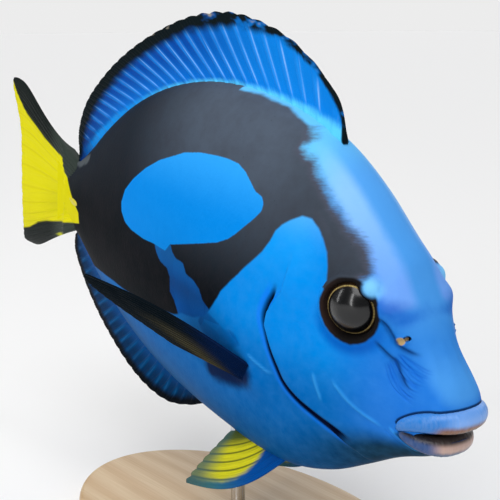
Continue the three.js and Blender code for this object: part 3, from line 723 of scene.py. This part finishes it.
class Net:
    """A material's node tree. Places for textures are in millimetres."""

    def __init__(self, name, **sockets):
        self.material = bpy.data.materials.new(name)
        self.material.use_nodes = True
        self.tree = self.material.node_tree
        self.shader = self.tree.nodes["Principled BSDF"]
        for socket, value in sockets.items():
            self.shader.inputs[socket.replace("_", " ")].default_value = value
        self.place = self.node("ShaderNodeTexCoord", out="Object")

    def node(self, kind, *inputs, out=0, **settings):
        node = self.tree.nodes.new(kind)
        for key, value in settings.items():
            setattr(node, key, value)
        for slot, value in enumerate(inputs):
            self.put(node.inputs[slot], value)
        return Wire(self, node.outputs[out])

    def put(self, socket, value):
        if isinstance(value, Wire):
            self.tree.links.new(value.socket, socket)
        elif value is not None:
            socket.default_value = value

    def math(self, operation, *terms):
        return self.node("ShaderNodeMath", *terms, operation=operation)

    def field(self, name):
        return self.node("ShaderNodeAttribute", out="Fac", attribute_name=name)

    def mix(self, share, first, second):
        """From the first colour to the second. Each is a wire or a display colour."""
        node = self.tree.nodes.new("ShaderNodeMix")
        node.data_type = "RGBA"
        self.put(node.inputs[0], share)
        for slot, value in ((6, first), (7, second)):
            self.put(node.inputs[slot], value if isinstance(value, Wire) else tone(value))
        return Wire(self, node.outputs[2])

    def noise(self, size, detail=2, roughness=0.5, place=None, stretch=(1, 1, 1)):
        """Noise around 0, about -1 to 1, with lumps of the given size."""
        scale = [1 / (MM * size * k) for k in stretch] if place is None else [1 / (size * k) for k in stretch]
        vector = self.node("ShaderNodeVectorMath", place or self.place, scale, operation="MULTIPLY")
        made = self.node("ShaderNodeTexNoise", vector, None, 1.0, detail, roughness)
        return (made - 0.5) * 4

    def cells(self, size, feature="F1", out="Distance"):
        vector = self.node("ShaderNodeVectorMath", self.place, [1 / (MM * size)] * 3, operation="MULTIPLY")
        return self.node("ShaderNodeTexVoronoi", vector, None, 1.0, out=out, feature=feature)

    def vector(self, x, y, z):
        return self.node("ShaderNodeCombineXYZ", x, y, z)

    def colour(self, value):
        self.put(self.shader.inputs["Base Color"], value)

    def rough(self, value):
        self.put(self.shader.inputs["Roughness"], value)

    def finished(self, colour, height, depth):
        """The material in its colour, with a bump whose height of 1 stands depth millimetres proud."""
        self.colour(colour)
        bump = self.tree.nodes.new("ShaderNodeBump")
        bump.inputs["Strength"].default_value = 1
        bump.inputs["Distance"].default_value = depth * MM
        self.put(bump.inputs["Height"], height)
        self.tree.links.new(bump.outputs[0], self.shader.inputs["Normal"])
        return self.material


def skin_material():
    net = Net("tang_skin", Roughness=0.42, IOR=1.45, Specular_IOR_Level=0.012)
    black, oval, strand, yellow = (net.field(n) for n in ("black", "oval", "strand", "yellow"))
    up, s, z, eye = (net.field(n) for n in ("up", "s", "z", "eye"))
    broad = net.noise(11, 2)
    medium = net.noise(3, 3)
    fine = net.noise(0.9, 3)

    cheek = net.mix(broad * 0.25 + 0.5, (0, 128, 220), (2, 140, 230))
    cheek = cheek.over(z.fade(2, 18) * s.fade(40, 52) * 0.6, 16, 160, 248)
    # Painted shade: the lower cheek darker, away from the light above.
    cheek = cheek.over(1 - z.fade(-24, -2), 0, 98, 176)
    snout = net.mix(z.fade(-14, 8), (34, 116, 210), (10, 106, 198))
    face = net.mix(s.fade(20, 40), snout, cheek)
    ridge = net.mix(s.fade(16, 50), (70, 148, 226), (84, 162, 238))
    forehead = net.mix(up.fade(0.5, 0.85) * (1 - z.bell(0, 9) * 0.5), face, ridge)
    # Painted highlight: the pale band beside the forehead's ridge, over the fish's own paler blue.
    highlight_band = (1 - (net.field("highlight_band") + medium * 0.4).fade(1.2, 4)) * net.field("half").fade(3, 6.5)
    pale = net.mix(z.fade(12, 34), (116, 164, 244), (146, 198, 250))
    forehead = net.mix(highlight_band * 0.8, forehead, pale)
    forehead = forehead.over((net.field("hollow") + medium * 0.3).fade(3.4, 0.4) * 0.7, 0, 84, 190)
    top = net.mix(s.fade(44, 62) * up.fade(0.4, 0.8), forehead, (104, 196, 250))
    # Painted shade: the belly and the chin darker, away from the light above.
    under = net.mix(1 - up.fade(-0.95, -0.5), top, (0, 76, 134))
    chin = net.mix((1 - s.fade(24, 58)) * (1 - up.fade(-0.82, -0.5)), under, (12, 44, 62))
    blue = net.mix(medium * 0.05 + 0.04, chin, (90, 170, 240))
    # Painted highlight on the brow knob.
    blue = blue.over((net.field("knob") + medium * 0.3).fade(4.4, 0.6) * 0.9, 128, 204, 250)
    # Painted shadow on the skin below the eye.
    blue = blue.over(eye.bell(9.4, 3.2) * (1 - z.fade(-4, 6)) * 0.65, 0, 66, 168)

    # Painted sheen and shade on the black: lighter on top and towards the front, where the top light falls,
    # darker below; it also darkens towards the rear.
    dark = net.mix(up.fade(-0.1, 0.9), (6, 13, 19), (80, 91, 106))
    dark = dark.over((1 - s.fade(48, 74)) * 0.55, 46, 51, 58)
    dark = dark.over(s.fade(95, 150) * 0.8, 5, 11, 17)
    dark = dark.over((broad + medium) * 0.1 + 0.08, 50, 44, 48)
    dark = dark.over(net.cells(2.4).fade(0.1, 0.02) * 0.35, 14, 18, 24)

    feather = net.field("feather")
    streaks = net.noise(1, 3, stretch=(2.6, 2.6, 0.45))
    soft = feather * 1.1 + 0.4
    ragged = black + medium * 0.12 + (streaks * 0.45 + medium * 0.3) * feather
    mask = (ragged / soft).fade(-1, 1)
    dark = dark.over(feather * ragged.bell(0.6, 2.4) * 0.4, 88, 88, 106)
    bright = net.mix(fine * 0.05 + medium * 0.06 + 0.06, (0, 134, 226), (40, 160, 244))
    bright = bright.over(z.fade(16, 36) * 0.6, 60, 176, 255)
    patch = net.cells(6, out="Color")
    strand_blue = net.mix(z.fade(-13, 3), (0, 84, 170), (20, 88, 152))
    strand_blue = strand_blue.over(z.bell(-7, 6) * 0.8, 18, 56, 112)
    strand_blue = strand_blue.over(patch * 0.35, 14, 104, 190)
    dark = net.mix((strand + fine * 0.12).fade(-0.25, 0.35), dark, strand_blue)
    dark = net.mix((oval + fine * 0.06).fade(-0.25, 0.2), dark, bright)
    foot = (net.field("foot") + medium * 0.5).fade(-0.5, 0.7)
    blue = blue.over(foot * (patch * 0.7 + 0.15), 6, 80, 158)
    # Painted shadow round the foot of the pectoral fin.
    blue = blue.over((net.field("pectoral_shadow") + medium * 0.5).fade(6, 2), 0, 28, 70)
    body = net.mix(mask, blue, dark)
    warm = net.mix(medium * 0.12 + 0.3, (228, 220, 0), (206, 196, 0))
    body = body.over((net.field("pale") + medium * 0.4).fade(2.2, 0.8) * 0.4, 120, 128, 132)
    body = net.mix((yellow + fine * 0.1).fade(-0.25, 0.3), body, warm)

    groove = net.field("groove")
    grooved = net.field("grooved")
    # Painted highlight along one side of the gill groove, and painted shade as a dark line in the groove.
    body = body.over(groove.bell(-1.7, 1.6) * grooved * 0.6, 20, 120, 246)
    line = 1 - (net.math("ABSOLUTE", groove) - z.fade(0, -20) * 0.8).fade(0.2, 1.2)
    body = body.over(line * grooved, 2, 12, 42)
    # Painted highlight on the raised folds, and painted shade in the wrinkles and creases.
    body = body.over(net.field("ridge_highlight") * 0.38, 70, 176, 246)
    body = body.over(net.field("wrinkle_shade") * 0.35, 10, 84, 190)
    body = body.over(net.field("crease_shade") * 0.75, 8, 36, 84)
    body = body.over((1 - net.field("rear_nostril").fade(0.75, 1.2)) * 0.9, 190, 160, 96)
    # Painted shade: the front nostril's pit near black.
    body = body.over(1 - net.field("front_nostril").fade(0.45, 0.85), 8, 8, 10)
    ring = (1 - (eye + medium * 0.2).fade(8.1, 8.9)) * net.field("knob").fade(1.6, 3.2)
    body = net.mix(ring, body, net.mix(s.fade(34, 40) * 0.6, (24, 22, 22), (50, 36, 32)))
    # Painted shade in the creases where the lips meet the skin.
    outline = 1 - net.field("upper_lip").fade(0.25, 0.75)
    outline = outline + (1 - net.field("lower_lip").fade(0.1, 0.5)) * 0.6
    body = body.over(outline.fade(0, 1) * 0.9, 12, 30, 62)
    scales = net.cells(0.9, "SMOOTH_F1")
    net.rough(0.4 + medium * 0.03 + mask * 0.06)
    return net.finished(body, scales * 0.6 + fine * 0.25, 0.05)


def lip_net(which):
    """A lip's material, with the height on the roll, the place beside the midline and a noise."""
    net = Net(f"{which}_lip", Roughness=0.34, IOR=1.45)
    return net, net.field(f"{which}_lift"), net.field("half"), net.noise(2, 3)


def finished_lip(net, body):
    streak = net.noise(1, 2, stretch=(1, 0.25, 3))
    body = body.over(streak * 0.04 + 0.04, 216, 214, 222)
    return net.finished(body, streak * 0.4 + net.noise(0.4, 2) * 0.3, 0.04)


def upper_lip_material():
    net, lift, half, medium = lip_net("upper")
    body = net.mix(half.fade(4, 9.4), (116, 166, 236), (0, 116, 200))
    body = body.over(lift.fade(0.2, 0.9) * 0.5, 60, 140, 224)
    low = (1 - (lift + medium * 0.06).fade(-0.5, 0.12)) * (1 - half.fade(7.5, 10.2))
    body = body.over(low, 128, 84, 56)
    # Painted shade on the underside of the upper lip.
    body = body.over(1 - (lift + half * 0.03).fade(-0.85, -0.45), 40, 26, 22)
    return finished_lip(net, body)


def lower_lip_material():
    net, lift, half, medium = lip_net("lower")
    # The lower lip's tan over a dark teal underside, which is partly painted shade under the lip.
    body = net.mix((lift + medium * 0.1).fade(-0.75, -0.1), (14, 70, 110), (192, 160, 148))
    body = body.over(half.fade(5.2, 8.6), 8, 64, 124)
    # Painted shade on the top of the lower lip, where the lips part.
    body = body.over(lift.fade(0.2, 0.7) * 0.92, 34, 26, 24)
    return finished_lip(net, body)


def mouth_material():
    # The inside of the mouth, painted near black as its shade.
    net = Net("mouth", Roughness=0.5)
    body = net.mix(net.noise(2, 2) * 0.2 + 0.4, (10, 8, 9), (34, 20, 20))
    return net.finished(body, net.noise(1, 3), 0.08)


# Fins


class Fin:
    """A vane of rays and membrane. ray(t, v) gives the points a share v out along the rays at
    shares t along the root. The rays stand up as ridges that may fork twice on their way out."""

    def __init__(self, rays, per_ray, rows, ray, root, membrane, ridge, notch, forks, sink):
        columns = rays * per_ray + 1
        t, v = np.meshgrid(np.linspace(0, 1, columns), np.linspace(0, 1, rows), indexing="ij")
        phase = (t * rays) % 1 - 0.5
        middle = ray(t, v * (1 - notch(t) * np.abs(2 * phase) ** 1.5))
        length = np.cumsum(np.linalg.norm(np.diff(middle, axis=1, prepend=middle[:, :1]), axis=-1), axis=1)
        normal = normals_of(middle, False)
        sheath = (root - membrane) * np.exp(-np.maximum(length - sink, 0) / (0.9 + 0.75 * root))
        bar = ridge * (1 - 0.7 * v) * self.bars(phase, v, forks(t))
        half = (membrane * (1 - 0.4 * v) + sheath + bar) / 2
        self.points = np.concatenate([middle + normal * half[..., None], middle - normal * half[..., None]])
        self.faces = self.skin(columns, rows)
        self.fields = {
            "ray": np.tile(t * rays, (2, 1)),
            "share": np.tile(t, (2, 1)),
            "out": np.tile(v, (2, 1)),
            "root": np.tile(length - sink, (2, 1)),
            "edge": np.tile(length[:, -1:] - length, (2, 1)),
        }

    @staticmethod
    def bars(phase, v, forks):
        fork = 0.24 * fade(v, 0.3, 0.95) * forks
        twig = 0.11 * fade(v, 0.6, 1) * forks
        width = lerp(0.17, 0.075, fade(v, 0.2, 0.8) * forks)
        height = np.zeros(phase.shape)
        for first in (-1, 1):
            for second in (-1, 1):
                across = (phase - first * fork - second * twig) / width
                height = np.maximum(height, np.sqrt(np.clip(1 - across**2, 0, 1)))
        return height

    @staticmethod
    def skin(columns, rows):
        front = grid_faces(columns, rows, False)
        other = columns * rows
        rim = [i * rows for i in range(columns)]
        rim += [(columns - 1) * rows + j for j in range(1, rows)]
        rim += [i * rows + rows - 1 for i in range(columns - 2, -1, -1)]
        rim += [j for j in range(rows - 2, 0, -1)]
        rim = np.array(rim)
        nxt = np.roll(rim, -1)
        side = np.stack([rim, nxt, nxt + other, rim + other], -1)
        return np.concatenate([front, front[:, ::-1] + other, side[:, ::-1]])

    def build(self, name, material, node, slot, mirror=False):
        points = self.points.reshape(-1, 3)
        faces = self.faces
        if mirror:
            points = points * [1, -1, 1]
            faces = faces[:, ::-1]
        fields = {**self.fields, "s": points[:, 0], "z": points[:, 2]}
        fields["yellow"] = inside_by(YELLOW_AREA, points[:, 0], points[:, 2])
        settle(closed_object(name, to_world(points), faces, material, fields), node, slot=slot)


def settle(obj, *nodes, slot):
    """obj takes the place of these nodes of the model."""
    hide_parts(*nodes)
    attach(obj, "root")


SINK = 4
DORSAL_EDGE = [
    (53.8, 43), (56.7, 51.5), (62.3, 57.2), (70, 62.3), (81, 67.5), (95, 71), (110, 72.3), (126, 70),
    (142, 64.3), (159, 55.3), (174, 44.5), (185.5, 34), (192, 23), (192.3, 14.5),
]
ANAL_EDGE = [
    (106, -48.5), (112, -52.4), (120, -55.5), (129, -57.4), (142, -56.2), (160, -50.5), (178.5, -41),
    (189, -31), (194.5, -20), (193, -14.5),
]
TAIL = {
    "root_s": 189, "root_half": 11.5, "middle_s": 235.7, "upper_half": 37.4, "lower_half": 28.4,
    "upper_bow": 2.7, "lower_bow": 0.8, "curl": 4.3,
}
PECTORAL = {
    "first": (61, -15.8, -22.6), "last": (60.2, -15.4, -27), "tip": (114.3, -42.2, -2.9),
    "last_tip": (96, -23.2, -22.4), "bow": (1.3, -0.5, 2.8), "hollow": -0.22,
}
PELVIC = {
    "first": (61, -4, -47.5), "last": (80, -4, -48.5), "tip": (100.5, -14, -71.5),
    "last_tip": (87, -7.6, -50.3), "bow": (-4.6, -3.5, -3.4), "hollow": -0.03,
}


def midline_ray(start, end, profile, inward, edge, lean, sway):
    path = smooth_path(edge)
    walked = np.concatenate([[0], np.cumsum(np.linalg.norm(np.diff(path, axis=0), axis=1))])

    def ray(t, v):
        s = lerp(start, end, t)
        at = t**lean * walked[-1]
        tip_s = np.interp(at, walked, path[:, 0])
        tip_z = np.interp(at, walked, path[:, 1])
        foot_z = profile(s) + inward * SINK
        return np.stack([lerp(s, tip_s, v), sway(t) * v * v, lerp(foot_z, tip_z, v)], -1)

    return ray


def tail_ray(t, v):
    """The rays fan out. The upper lobe is drawn out, and the lower one is round and curls aside."""
    h = 1 - 2 * t
    high, low = np.maximum(0, h), np.maximum(0, -h)
    spread = np.sign(h) * np.abs(np.sin(h * math.pi / 2)) ** 0.92
    tip_s = TAIL["middle_s"] + 6.7 * fade(high, 0.2, 0.75) - 4 * high**24 + 6.5 * low**2 - 10.2 * low**14
    tip_z = spread * lerp(TAIL["upper_half"], TAIL["lower_half"], fade(low, 0, 0.6))
    bow = (TAIL["upper_bow"] * high - TAIL["lower_bow"] * low) * np.sin(math.pi * v**3)
    y = TAIL["curl"] * low**1.5 * v + 1.2 * np.sin(math.pi * v) * np.cos(math.pi * h)
    return np.stack([lerp(TAIL["root_s"], tip_s, v), y, lerp(TAIL["root_half"] * h, tip_z, v) + bow], -1)


def paired_ray(first, last, tip, last_tip, bow, hollow):
    first, last, tip, last_tip, bow = (np.array(p, float) for p in (first, last, tip, last_tip, bow))

    def ray(t, v):
        t, v = t[..., None], v[..., None]
        foot = lerp(first, last, t)
        end = lerp(tip, last_tip, t)
        end = lerp(end, foot, hollow * np.sin(math.pi * t))
        return lerp(foot, end, v) + bow * (1 - t) ** 1.5 * np.sin(math.pi * v)

    return ray


class FinNet(Net):
    """A fin's material, with its fields, the place across a ray and two noises along the rays."""

    def __init__(self, name, roughness, specular):
        super().__init__(name, Roughness=roughness, IOR=1.45, Specular_IOR_Level=specular)
        ray, self.out, self.root, self.edge, self.share = (
            self.field(n) for n in ("ray", "out", "root", "edge", "share")
        )
        self.across = self.math("FRACT", ray)
        self.fibre = self.noise(1, 3, place=self.vector(ray * 9, self.out * 2.2, 0.0))
        self.patch = self.noise(1, 2, place=self.vector(ray * 0.9, self.root * 0.22, 0.0))

    def finished(self, colour, fibres, depth):
        return super().finished(colour, self.fibre * fibres + self.noise(0.5, 2) * 0.3, depth)


def dorsal_material():
    net = FinNet("dorsal_fin", 0.4, 0.04)
    wavy = net.root + net.patch * 0.7 + net.fibre * 0.35
    deep = net.mix(net.out.fade(0.15, 0.75), (0, 114, 216), (0, 72, 164))
    deep = deep.over(net.share.fade(0.72, 1), 0, 44, 110)
    deep = deep.over((1 - net.share.fade(0.1, 0.42)) * 0.75, 6, 140, 238)
    bright = net.across.bell(0.44, 0.33) * net.root.fade(2.5, 6.5) * net.edge.fade(2.2, 6.5)
    lines = bright * (net.fibre * 0.35 + 0.6) * (1 - net.share.fade(0.75, 1) * 0.7)
    body = net.mix(lines, deep, (34, 144, 238))
    pale = net.across.bell(0.36, 0.07) * bright * (net.fibre * 0.4 + 0.3)
    body = body.over(pale * (1 - net.share.fade(0.6, 0.95) * 0.6), 180, 212, 250)
    cyan = net.mix(net.share.fade(0.4, 0.75), (92, 206, 255), (20, 140, 226))
    body = net.mix((1 - wavy.fade(1.4, 4.6)) * (1 - net.share.fade(0.86, 0.97)), body, cyan)
    width = 6.4 - net.share.fade(0.75, 0.95) * 1.6 - (1 - net.share.fade(0.06, 0.3)) * 4
    margin = 1 - ((net.edge + net.fibre * 0.4 + net.patch * 0.5) / width).fade(0.55, 1.3)
    broken = (1 - net.share.fade(0.22, 0.42)) * net.patch.fade(0.1, 0.7)
    body = body.over(margin * (1 - broken * 0.75), 8, 20, 24)
    front = (1 - net.share.fade(0.4, 0.55)) * net.share.fade(0.02, 0.1)
    tan = (1 - net.edge.fade(0.6, 2)) * net.patch.fade(0.45, 0.9) * front
    body = body.over(tan, 150, 142, 128)
    return net.finished(body, 0.4, 0.05)


def anal_material():
    net = FinNet("anal_fin", 0.42, 0.02)
    deep = net.mix(net.out.fade(0.1, 0.7), (0, 78, 150), (0, 44, 84))
    bright = net.across.bell(0.45, 0.3) * net.root.fade(2, 6) * net.edge.fade(1.6, 5)
    body = net.mix(bright * (net.fibre * 0.3 + 0.45), deep, (0, 96, 160))
    margin = 1 - ((net.edge + net.fibre * 0.35 + net.patch * 0.4) / 3.6).fade(0.4, 1.3)
    body = body.over(margin, 4, 10, 18)
    return net.finished(body, 0.4, 0.05)


def tail_material():
    net = FinNet("tail_fin", 0.42, 0.04)
    yellow = net.field("yellow")
    warm = net.mix(net.out.fade(0.15, 0.9), (228, 220, 0), (222, 214, 20))
    lines = (net.across.bell(0.5, 0.12) * 0.3 + net.fibre * 0.1) * net.root.fade(4, 12)
    warm = warm.over(lines, 190, 176, 0)
    warm = warm.over(net.share.bell(0.6, 0.2) * (1 - net.out.fade(0.4, 0.8)) * 0.4, 190, 184, 0)
    dark = net.mix(net.fibre * 0.2 + 0.25, (16, 22, 21), (40, 48, 46))
    dark = dark.over((1 - net.root.fade(6, 18)) * 0.6, 66, 76, 70)
    body = net.mix((yellow + net.fibre * 0.25).fade(-0.4, 0.5), dark, warm)
    body = body.over(net.share.fade(0.955, 0.985) * net.out.bell(0.33, 0.1), 196, 200, 30)
    return net.finished(body, 0.5, 0.06)


def pectoral_material():
    net = FinNet("pectoral_fin", 0.4, 0.03)
    body = net.mix((net.out + net.patch * 0.05).fade(0.22, 0.5), (0, 24, 62), (4, 15, 22))
    olive = net.share.fade(0.25, 0.7) * net.out.bell(0.55, 0.3) * net.across.bell(0.45, 0.4)
    body = body.over(olive * (net.fibre * 0.5 + 0.35), 84, 76, 44)
    lines = net.across.bell(0.3, 0.08) * net.share.fade(0.3, 0.6) * net.out.bell(0.55, 0.3)
    body = body.over(lines * 0.4, 130, 120, 84)
    return net.finished(body, 0.5, 0.05)


def pelvic_material():
    net = FinNet("pelvic_fin", 0.42, 0.04)
    warm = net.mix(net.patch * 0.2 + 0.4, (226, 220, 40), (196, 196, 30))
    body = net.mix(net.across.bell(0.0, 0.2) + net.across.bell(1.0, 0.2), warm, (96, 104, 30))
    body = body.over(net.fibre * 0.2 + 0.1, 110, 110, 40)
    body = body.over(net.share.fade(0.6, 0.9), 74, 88, 42)
    near = 1 - net.out.fade(0, 0.75)
    front = net.share + net.patch * 0.02 - near * near * 0.36
    blue = net.mix(net.out.fade(0.35, 0.8), (0, 74, 152), (50, 108, 120))
    body = net.mix(1 - front.fade(0.07, 0.2), body, blue)
    body = body.over(net.out.fade(0.66, 0.96) * 0.85, 66, 96, 96)
    return net.finished(body, 0.5, 0.06)


def make_fins():
    dorsal = Fin(
        28, 16, 64,
        midline_ray(56, 188.5, back, -1, DORSAL_EDGE, 0.66, lambda t: 2 * np.sin(2.2 * math.pi * t)),
        root=1.8, membrane=0.5, ridge=0.7, sink=SINK,
        notch=lambda t: lerp(0.022, 0.01, fade(t, 0.28, 0.4)), forks=lambda t: fade(t, 0.3, 0.34),
    )
    dorsal.build("dorsal_vane", dorsal_material(), "dorsal_fin", "blue_fin")
    anal = Fin(
        21, 16, 44,
        midline_ray(108, 188, belly, 1, ANAL_EDGE, 0.85, lambda t: -1.5 * np.sin(2 * math.pi * t)),
        root=1.7, membrane=0.5, ridge=0.6, sink=SINK,
        notch=lambda t: 0.02, forks=lambda t: fade(t, 0.12, 0.16),
    )
    anal.build("anal_vane", anal_material(), "anal_fin", "blue_fin")
    tail = Fin(
        16, 26, 90, tail_ray, root=5, membrane=0.5, ridge=0.55, sink=10,
        notch=lambda t: 0.008, forks=lambda t: 1,
    )
    tail.build("tail_vane", tail_material(), "tail_fin", "yellow_fin")
    pectoral = Fin(
        14, 14, 60, paired_ray(**PECTORAL), root=1.8, membrane=0.45, ridge=0.55, sink=2,
        notch=lambda t: 0.015, forks=lambda t: fade(t, 0.04, 0.1),
    )
    pelvic = Fin(
        7, 16, 44, paired_ray(**PELVIC), root=1.8, membrane=0.45, ridge=0.75, sink=2,
        notch=lambda t: 0.02, forks=lambda t: fade(t, 0.1, 0.2),
    )
    dark, warm = pectoral_material(), pelvic_material()
    for side, mirror in (("right", False), ("left", True)):
        pectoral.build(f"pectoral_vane_{side}", dark, f"pectoral_fin_{side}", "dark_fin", mirror)
        pelvic.build(f"pelvic_vane_{side}", warm, f"pelvic_fin_{side}", "yellow_fin", mirror)


# Eyes, tail blades and stand


def eye_material():
    net = Net(
        "eye", Roughness=0.3, Specular_IOR_Level=0.1, Coat_Weight=1.0, Coat_Roughness=0.17, Coat_IOR=1.45
    )
    radius = net.field("radius")
    spoke = net.noise(1, 3, place=net.vector(net.field("turn") * 14, radius * 0.6, 0.0))
    medium = net.noise(1.2, 3)
    iris = net.mix(spoke * 0.3 + 0.4, (34, 25, 18), (84, 62, 42))
    iris = iris.over(radius.fade(6.9, 7.25), 16, 14, 12)
    body = net.mix((radius + medium * 0.05).fade(5.85, 6.1), (3, 4, 6), iris)
    body = body.over(radius.bell(6.25, 0.24) * (spoke * 0.4 + 0.75), 216, 192, 120)
    net.colour(body)
    return net.material


def make_eyes():
    rings, spokes = 64, 128
    material = eye_material()
    tilt = np.linspace(0, math.pi, rings)[1:-1]
    turn = np.arange(spokes) * 2 * math.pi / spokes
    radius = EYE["radius"] * np.sin(tilt)[:, None] * np.ones(spokes)
    front = (tilt < math.pi / 2)[:, None]
    lens = 0.35 * (1 - fade(radius, 2, 6)) * front
    height = EYE["depth"] * np.cos(tilt)[:, None] + lens
    fields = {"radius": np.where(front, radius, 9), "turn": np.tile(turn, (len(tilt), 1))}
    for side, name in ((1, "left"), (-1, "right")):
        looks, centre = eye_axis(side)
        first = np.cross(looks, [0, 0, 1])
        first /= np.linalg.norm(first)
        second = np.cross(looks, first)
        grid = centre + height[..., None] * looks
        grid = grid + radius[..., None] * (np.cos(turn)[:, None] * first + np.sin(turn)[:, None] * second)
        settle(tube(f"eyeball_{name}", to_world(grid), material, fields), f"eye_{name}", slot="eye")


BLADE = {"s": 188, "z": -0.5, "length": 10, "high": 2.4, "out": 1.9}


def side_of(s, z):
    """Half width of the plain body at a place seen from the side."""
    above = z > widest(s)
    up = np.clip((z - widest(s)) / reach_from_widest(s, above), -1, 1)
    return half_width(s) * np.sqrt(1 - up * up) ** pinch_at(s, above)


def make_blades():
    """The folded spine on each side of the stalk, lying forward and sunk a little into the skin."""
    net = Net("tail_blade", Roughness=0.3, IOR=1.5)
    body = net.mix(net.noise(1.5, 3) * 0.2 + 0.4, (226, 214, 60), (186, 170, 30))
    material = net.finished(body, net.noise(1, 3, stretch=(4, 1, 1)), 0.04)
    steps, sides = 40, 24
    along = np.linspace(0, 1, steps)
    around = np.arange(sides) * 2 * math.pi / sides
    full = np.clip(np.sin(math.pi * along**0.62), 0.02, 1) ** 0.8
    s = BLADE["s"] - BLADE["length"] / 2 + BLADE["length"] * along
    for side, name in ((1, "left"), (-1, "right")):
        out = BLADE["out"] / 2 * full[:, None] * np.cos(around)
        y = side * (side_of(s, BLADE["z"])[:, None] - 0.3 + out)
        z = BLADE["z"] + BLADE["high"] / 2 * full[:, None] * np.sin(around) + 0.5 * (along[:, None] - 0.5)
        grid = np.stack([s[:, None] + 0 * z, y, z], -1)
        settle(tube(f"blade_{name}", to_world(grid), material), f"tail_blade_{name}", slot="yellow_fin")


def wood_material():
    net = Net("maple", Roughness=0.42, IOR=1.45, Coat_Weight=0.15, Coat_Roughness=0.25)
    y, z = (net.node("ShaderNodeSeparateXYZ", net.place, out=k) for k in ("Y", "Z"))
    bend = net.noise(60, 2, stretch=(3, 1, 1))
    rings = net.math("SINE", (y / MM + bend * 7 + z / MM * 0.6) * 0.75)
    fibre = net.noise(1, 4, stretch=(26, 0.6, 0.6))
    body = net.mix(rings * 0.28 + 0.45, (222, 198, 160), (196, 160, 116))
    body = body.over(fibre * 0.15 + 0.2, 160, 122, 84)
    net.rough(0.4 + fibre * 0.04)
    return net.finished(body, fibre * 0.6 + rings * 0.2, 0.03)


def steel_material():
    net = Net("steel", Roughness=0.26, Metallic=1.0)
    brushed = net.noise(1, 3, stretch=(1, 1, 40))
    net.rough(0.25 + brushed * 0.05)
    body = net.mix(brushed * 0.15 + 0.5, (178, 182, 188), (214, 216, 220))
    return net.finished(body, brushed, 0.01)


def make_stand():
    turn = np.linspace(0, 2 * math.pi, 160, endpoint=False)
    curve = np.linspace(0, math.pi / 2, 8)
    bevel, top = BASE["bevel"], BASE["height"]
    rings = [(0, 30)]
    rings += [(bevel * (1 - math.cos(b)), bevel * (1 - math.sin(b))) for b in curve]
    rings += [(top - bevel + bevel * math.sin(b), bevel * (1 - math.cos(b))) for b in curve]
    rings += [(top, 6), (top, 30)]
    grid = [
        [[(BASE["half_length"] - i) * math.cos(a), (BASE["half_width"] - i) * math.sin(a), h] for a in turn]
        for h, i in rings
    ]
    base = tube("plinth", np.array(grid) * MM, wood_material())
    base.data.set_sharp_from_angle(angle=math.radians(40))
    settle(base, "stand_base", slot="stand_wood")
    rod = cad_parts["stand_rod"]
    rod.data.materials.clear()
    rod.data.materials.append(steel_material())


# Scene


def add_light(name, kind, power, away):
    """A light that shines from the way that away points."""
    data = bpy.data.lights.new(name, kind)
    data.energy = power
    light = bpy.data.objects.new(name, data)
    bpy.context.scene.collection.objects.link(light)
    light.rotation_euler = Vector(away).to_track_quat("Z", "Y").to_euler()
    return light


def make_scene():
    scene = bpy.context.scene
    scene.view_settings.view_transform = "Standard"
    camera_data = bpy.data.cameras.new("camera")
    camera_data.lens = CAMERA_LENS
    camera_data.sensor_width = 36
    camera = bpy.data.objects.new("camera", camera_data)
    scene.collection.objects.link(camera)
    scene.camera = camera
    forward = Vector(CAMERA_LOOKS).normalized()
    right = forward.cross(Vector(CAMERA_UP)).normalized()
    up = right.cross(forward)
    camera.matrix_world = Matrix.Translation(Vector(to_world(CAMERA))) @ Matrix(
        (right, up, -forward)
    ).transposed().to_4x4()

    for name, power, spread, away in SUNS:
        sun = add_light(name, "SUN", power, away)
        sun.data.angle = math.radians(spread)
    for name, place, wide, tall, power, target in LAMPS:
        lamp = add_light(name, "AREA", power, Vector(place) - Vector(target))
        lamp.location = place
        lamp.data.shape = "RECTANGLE"
        lamp.data.size = wide
        lamp.data.size_y = tall

    world = bpy.data.worlds.new("studio")
    scene.world = world
    world.use_nodes = True
    nodes = world.node_tree.nodes
    links = world.node_tree.links
    path = nodes.new("ShaderNodeLightPath")
    shown = nodes.new("ShaderNodeMix")
    shown.inputs[2].default_value = WORLD_LIGHT
    shown.inputs[3].default_value = WORLD_SHOWN
    links.new(path.outputs["Is Camera Ray"], shown.inputs[0])
    links.new(shown.outputs[0], nodes["Background"].inputs["Strength"])
    nodes["Background"].inputs["Color"].default_value = (1, 1, 1, 1)

    half = FLOOR_HALF
    corners = [(-half, -half, 0), (half, -half, 0), (half, half, 0), (-half, half, 0)]
    floor = mesh_object("floor", corners, [(0, 1, 2, 3)])
    net = Net("floor", Roughness=1.0, Specular_IOR_Level=0.0)
    net.colour(net.mix(net.noise(300, 2) * 0.02 + 0.5, (242, 242, 243), (245, 245, 245)))
    floor.data.materials.append(net.material)
    floor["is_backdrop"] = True


make_scene()
make_skin()
make_fins()
make_eyes()
make_blades()
make_stand()

boxes = {"cad": cad_box, "visual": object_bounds()}
str({key: [list(corner) for corner in box] for key, box in boxes.items()}).replace("'", '"')
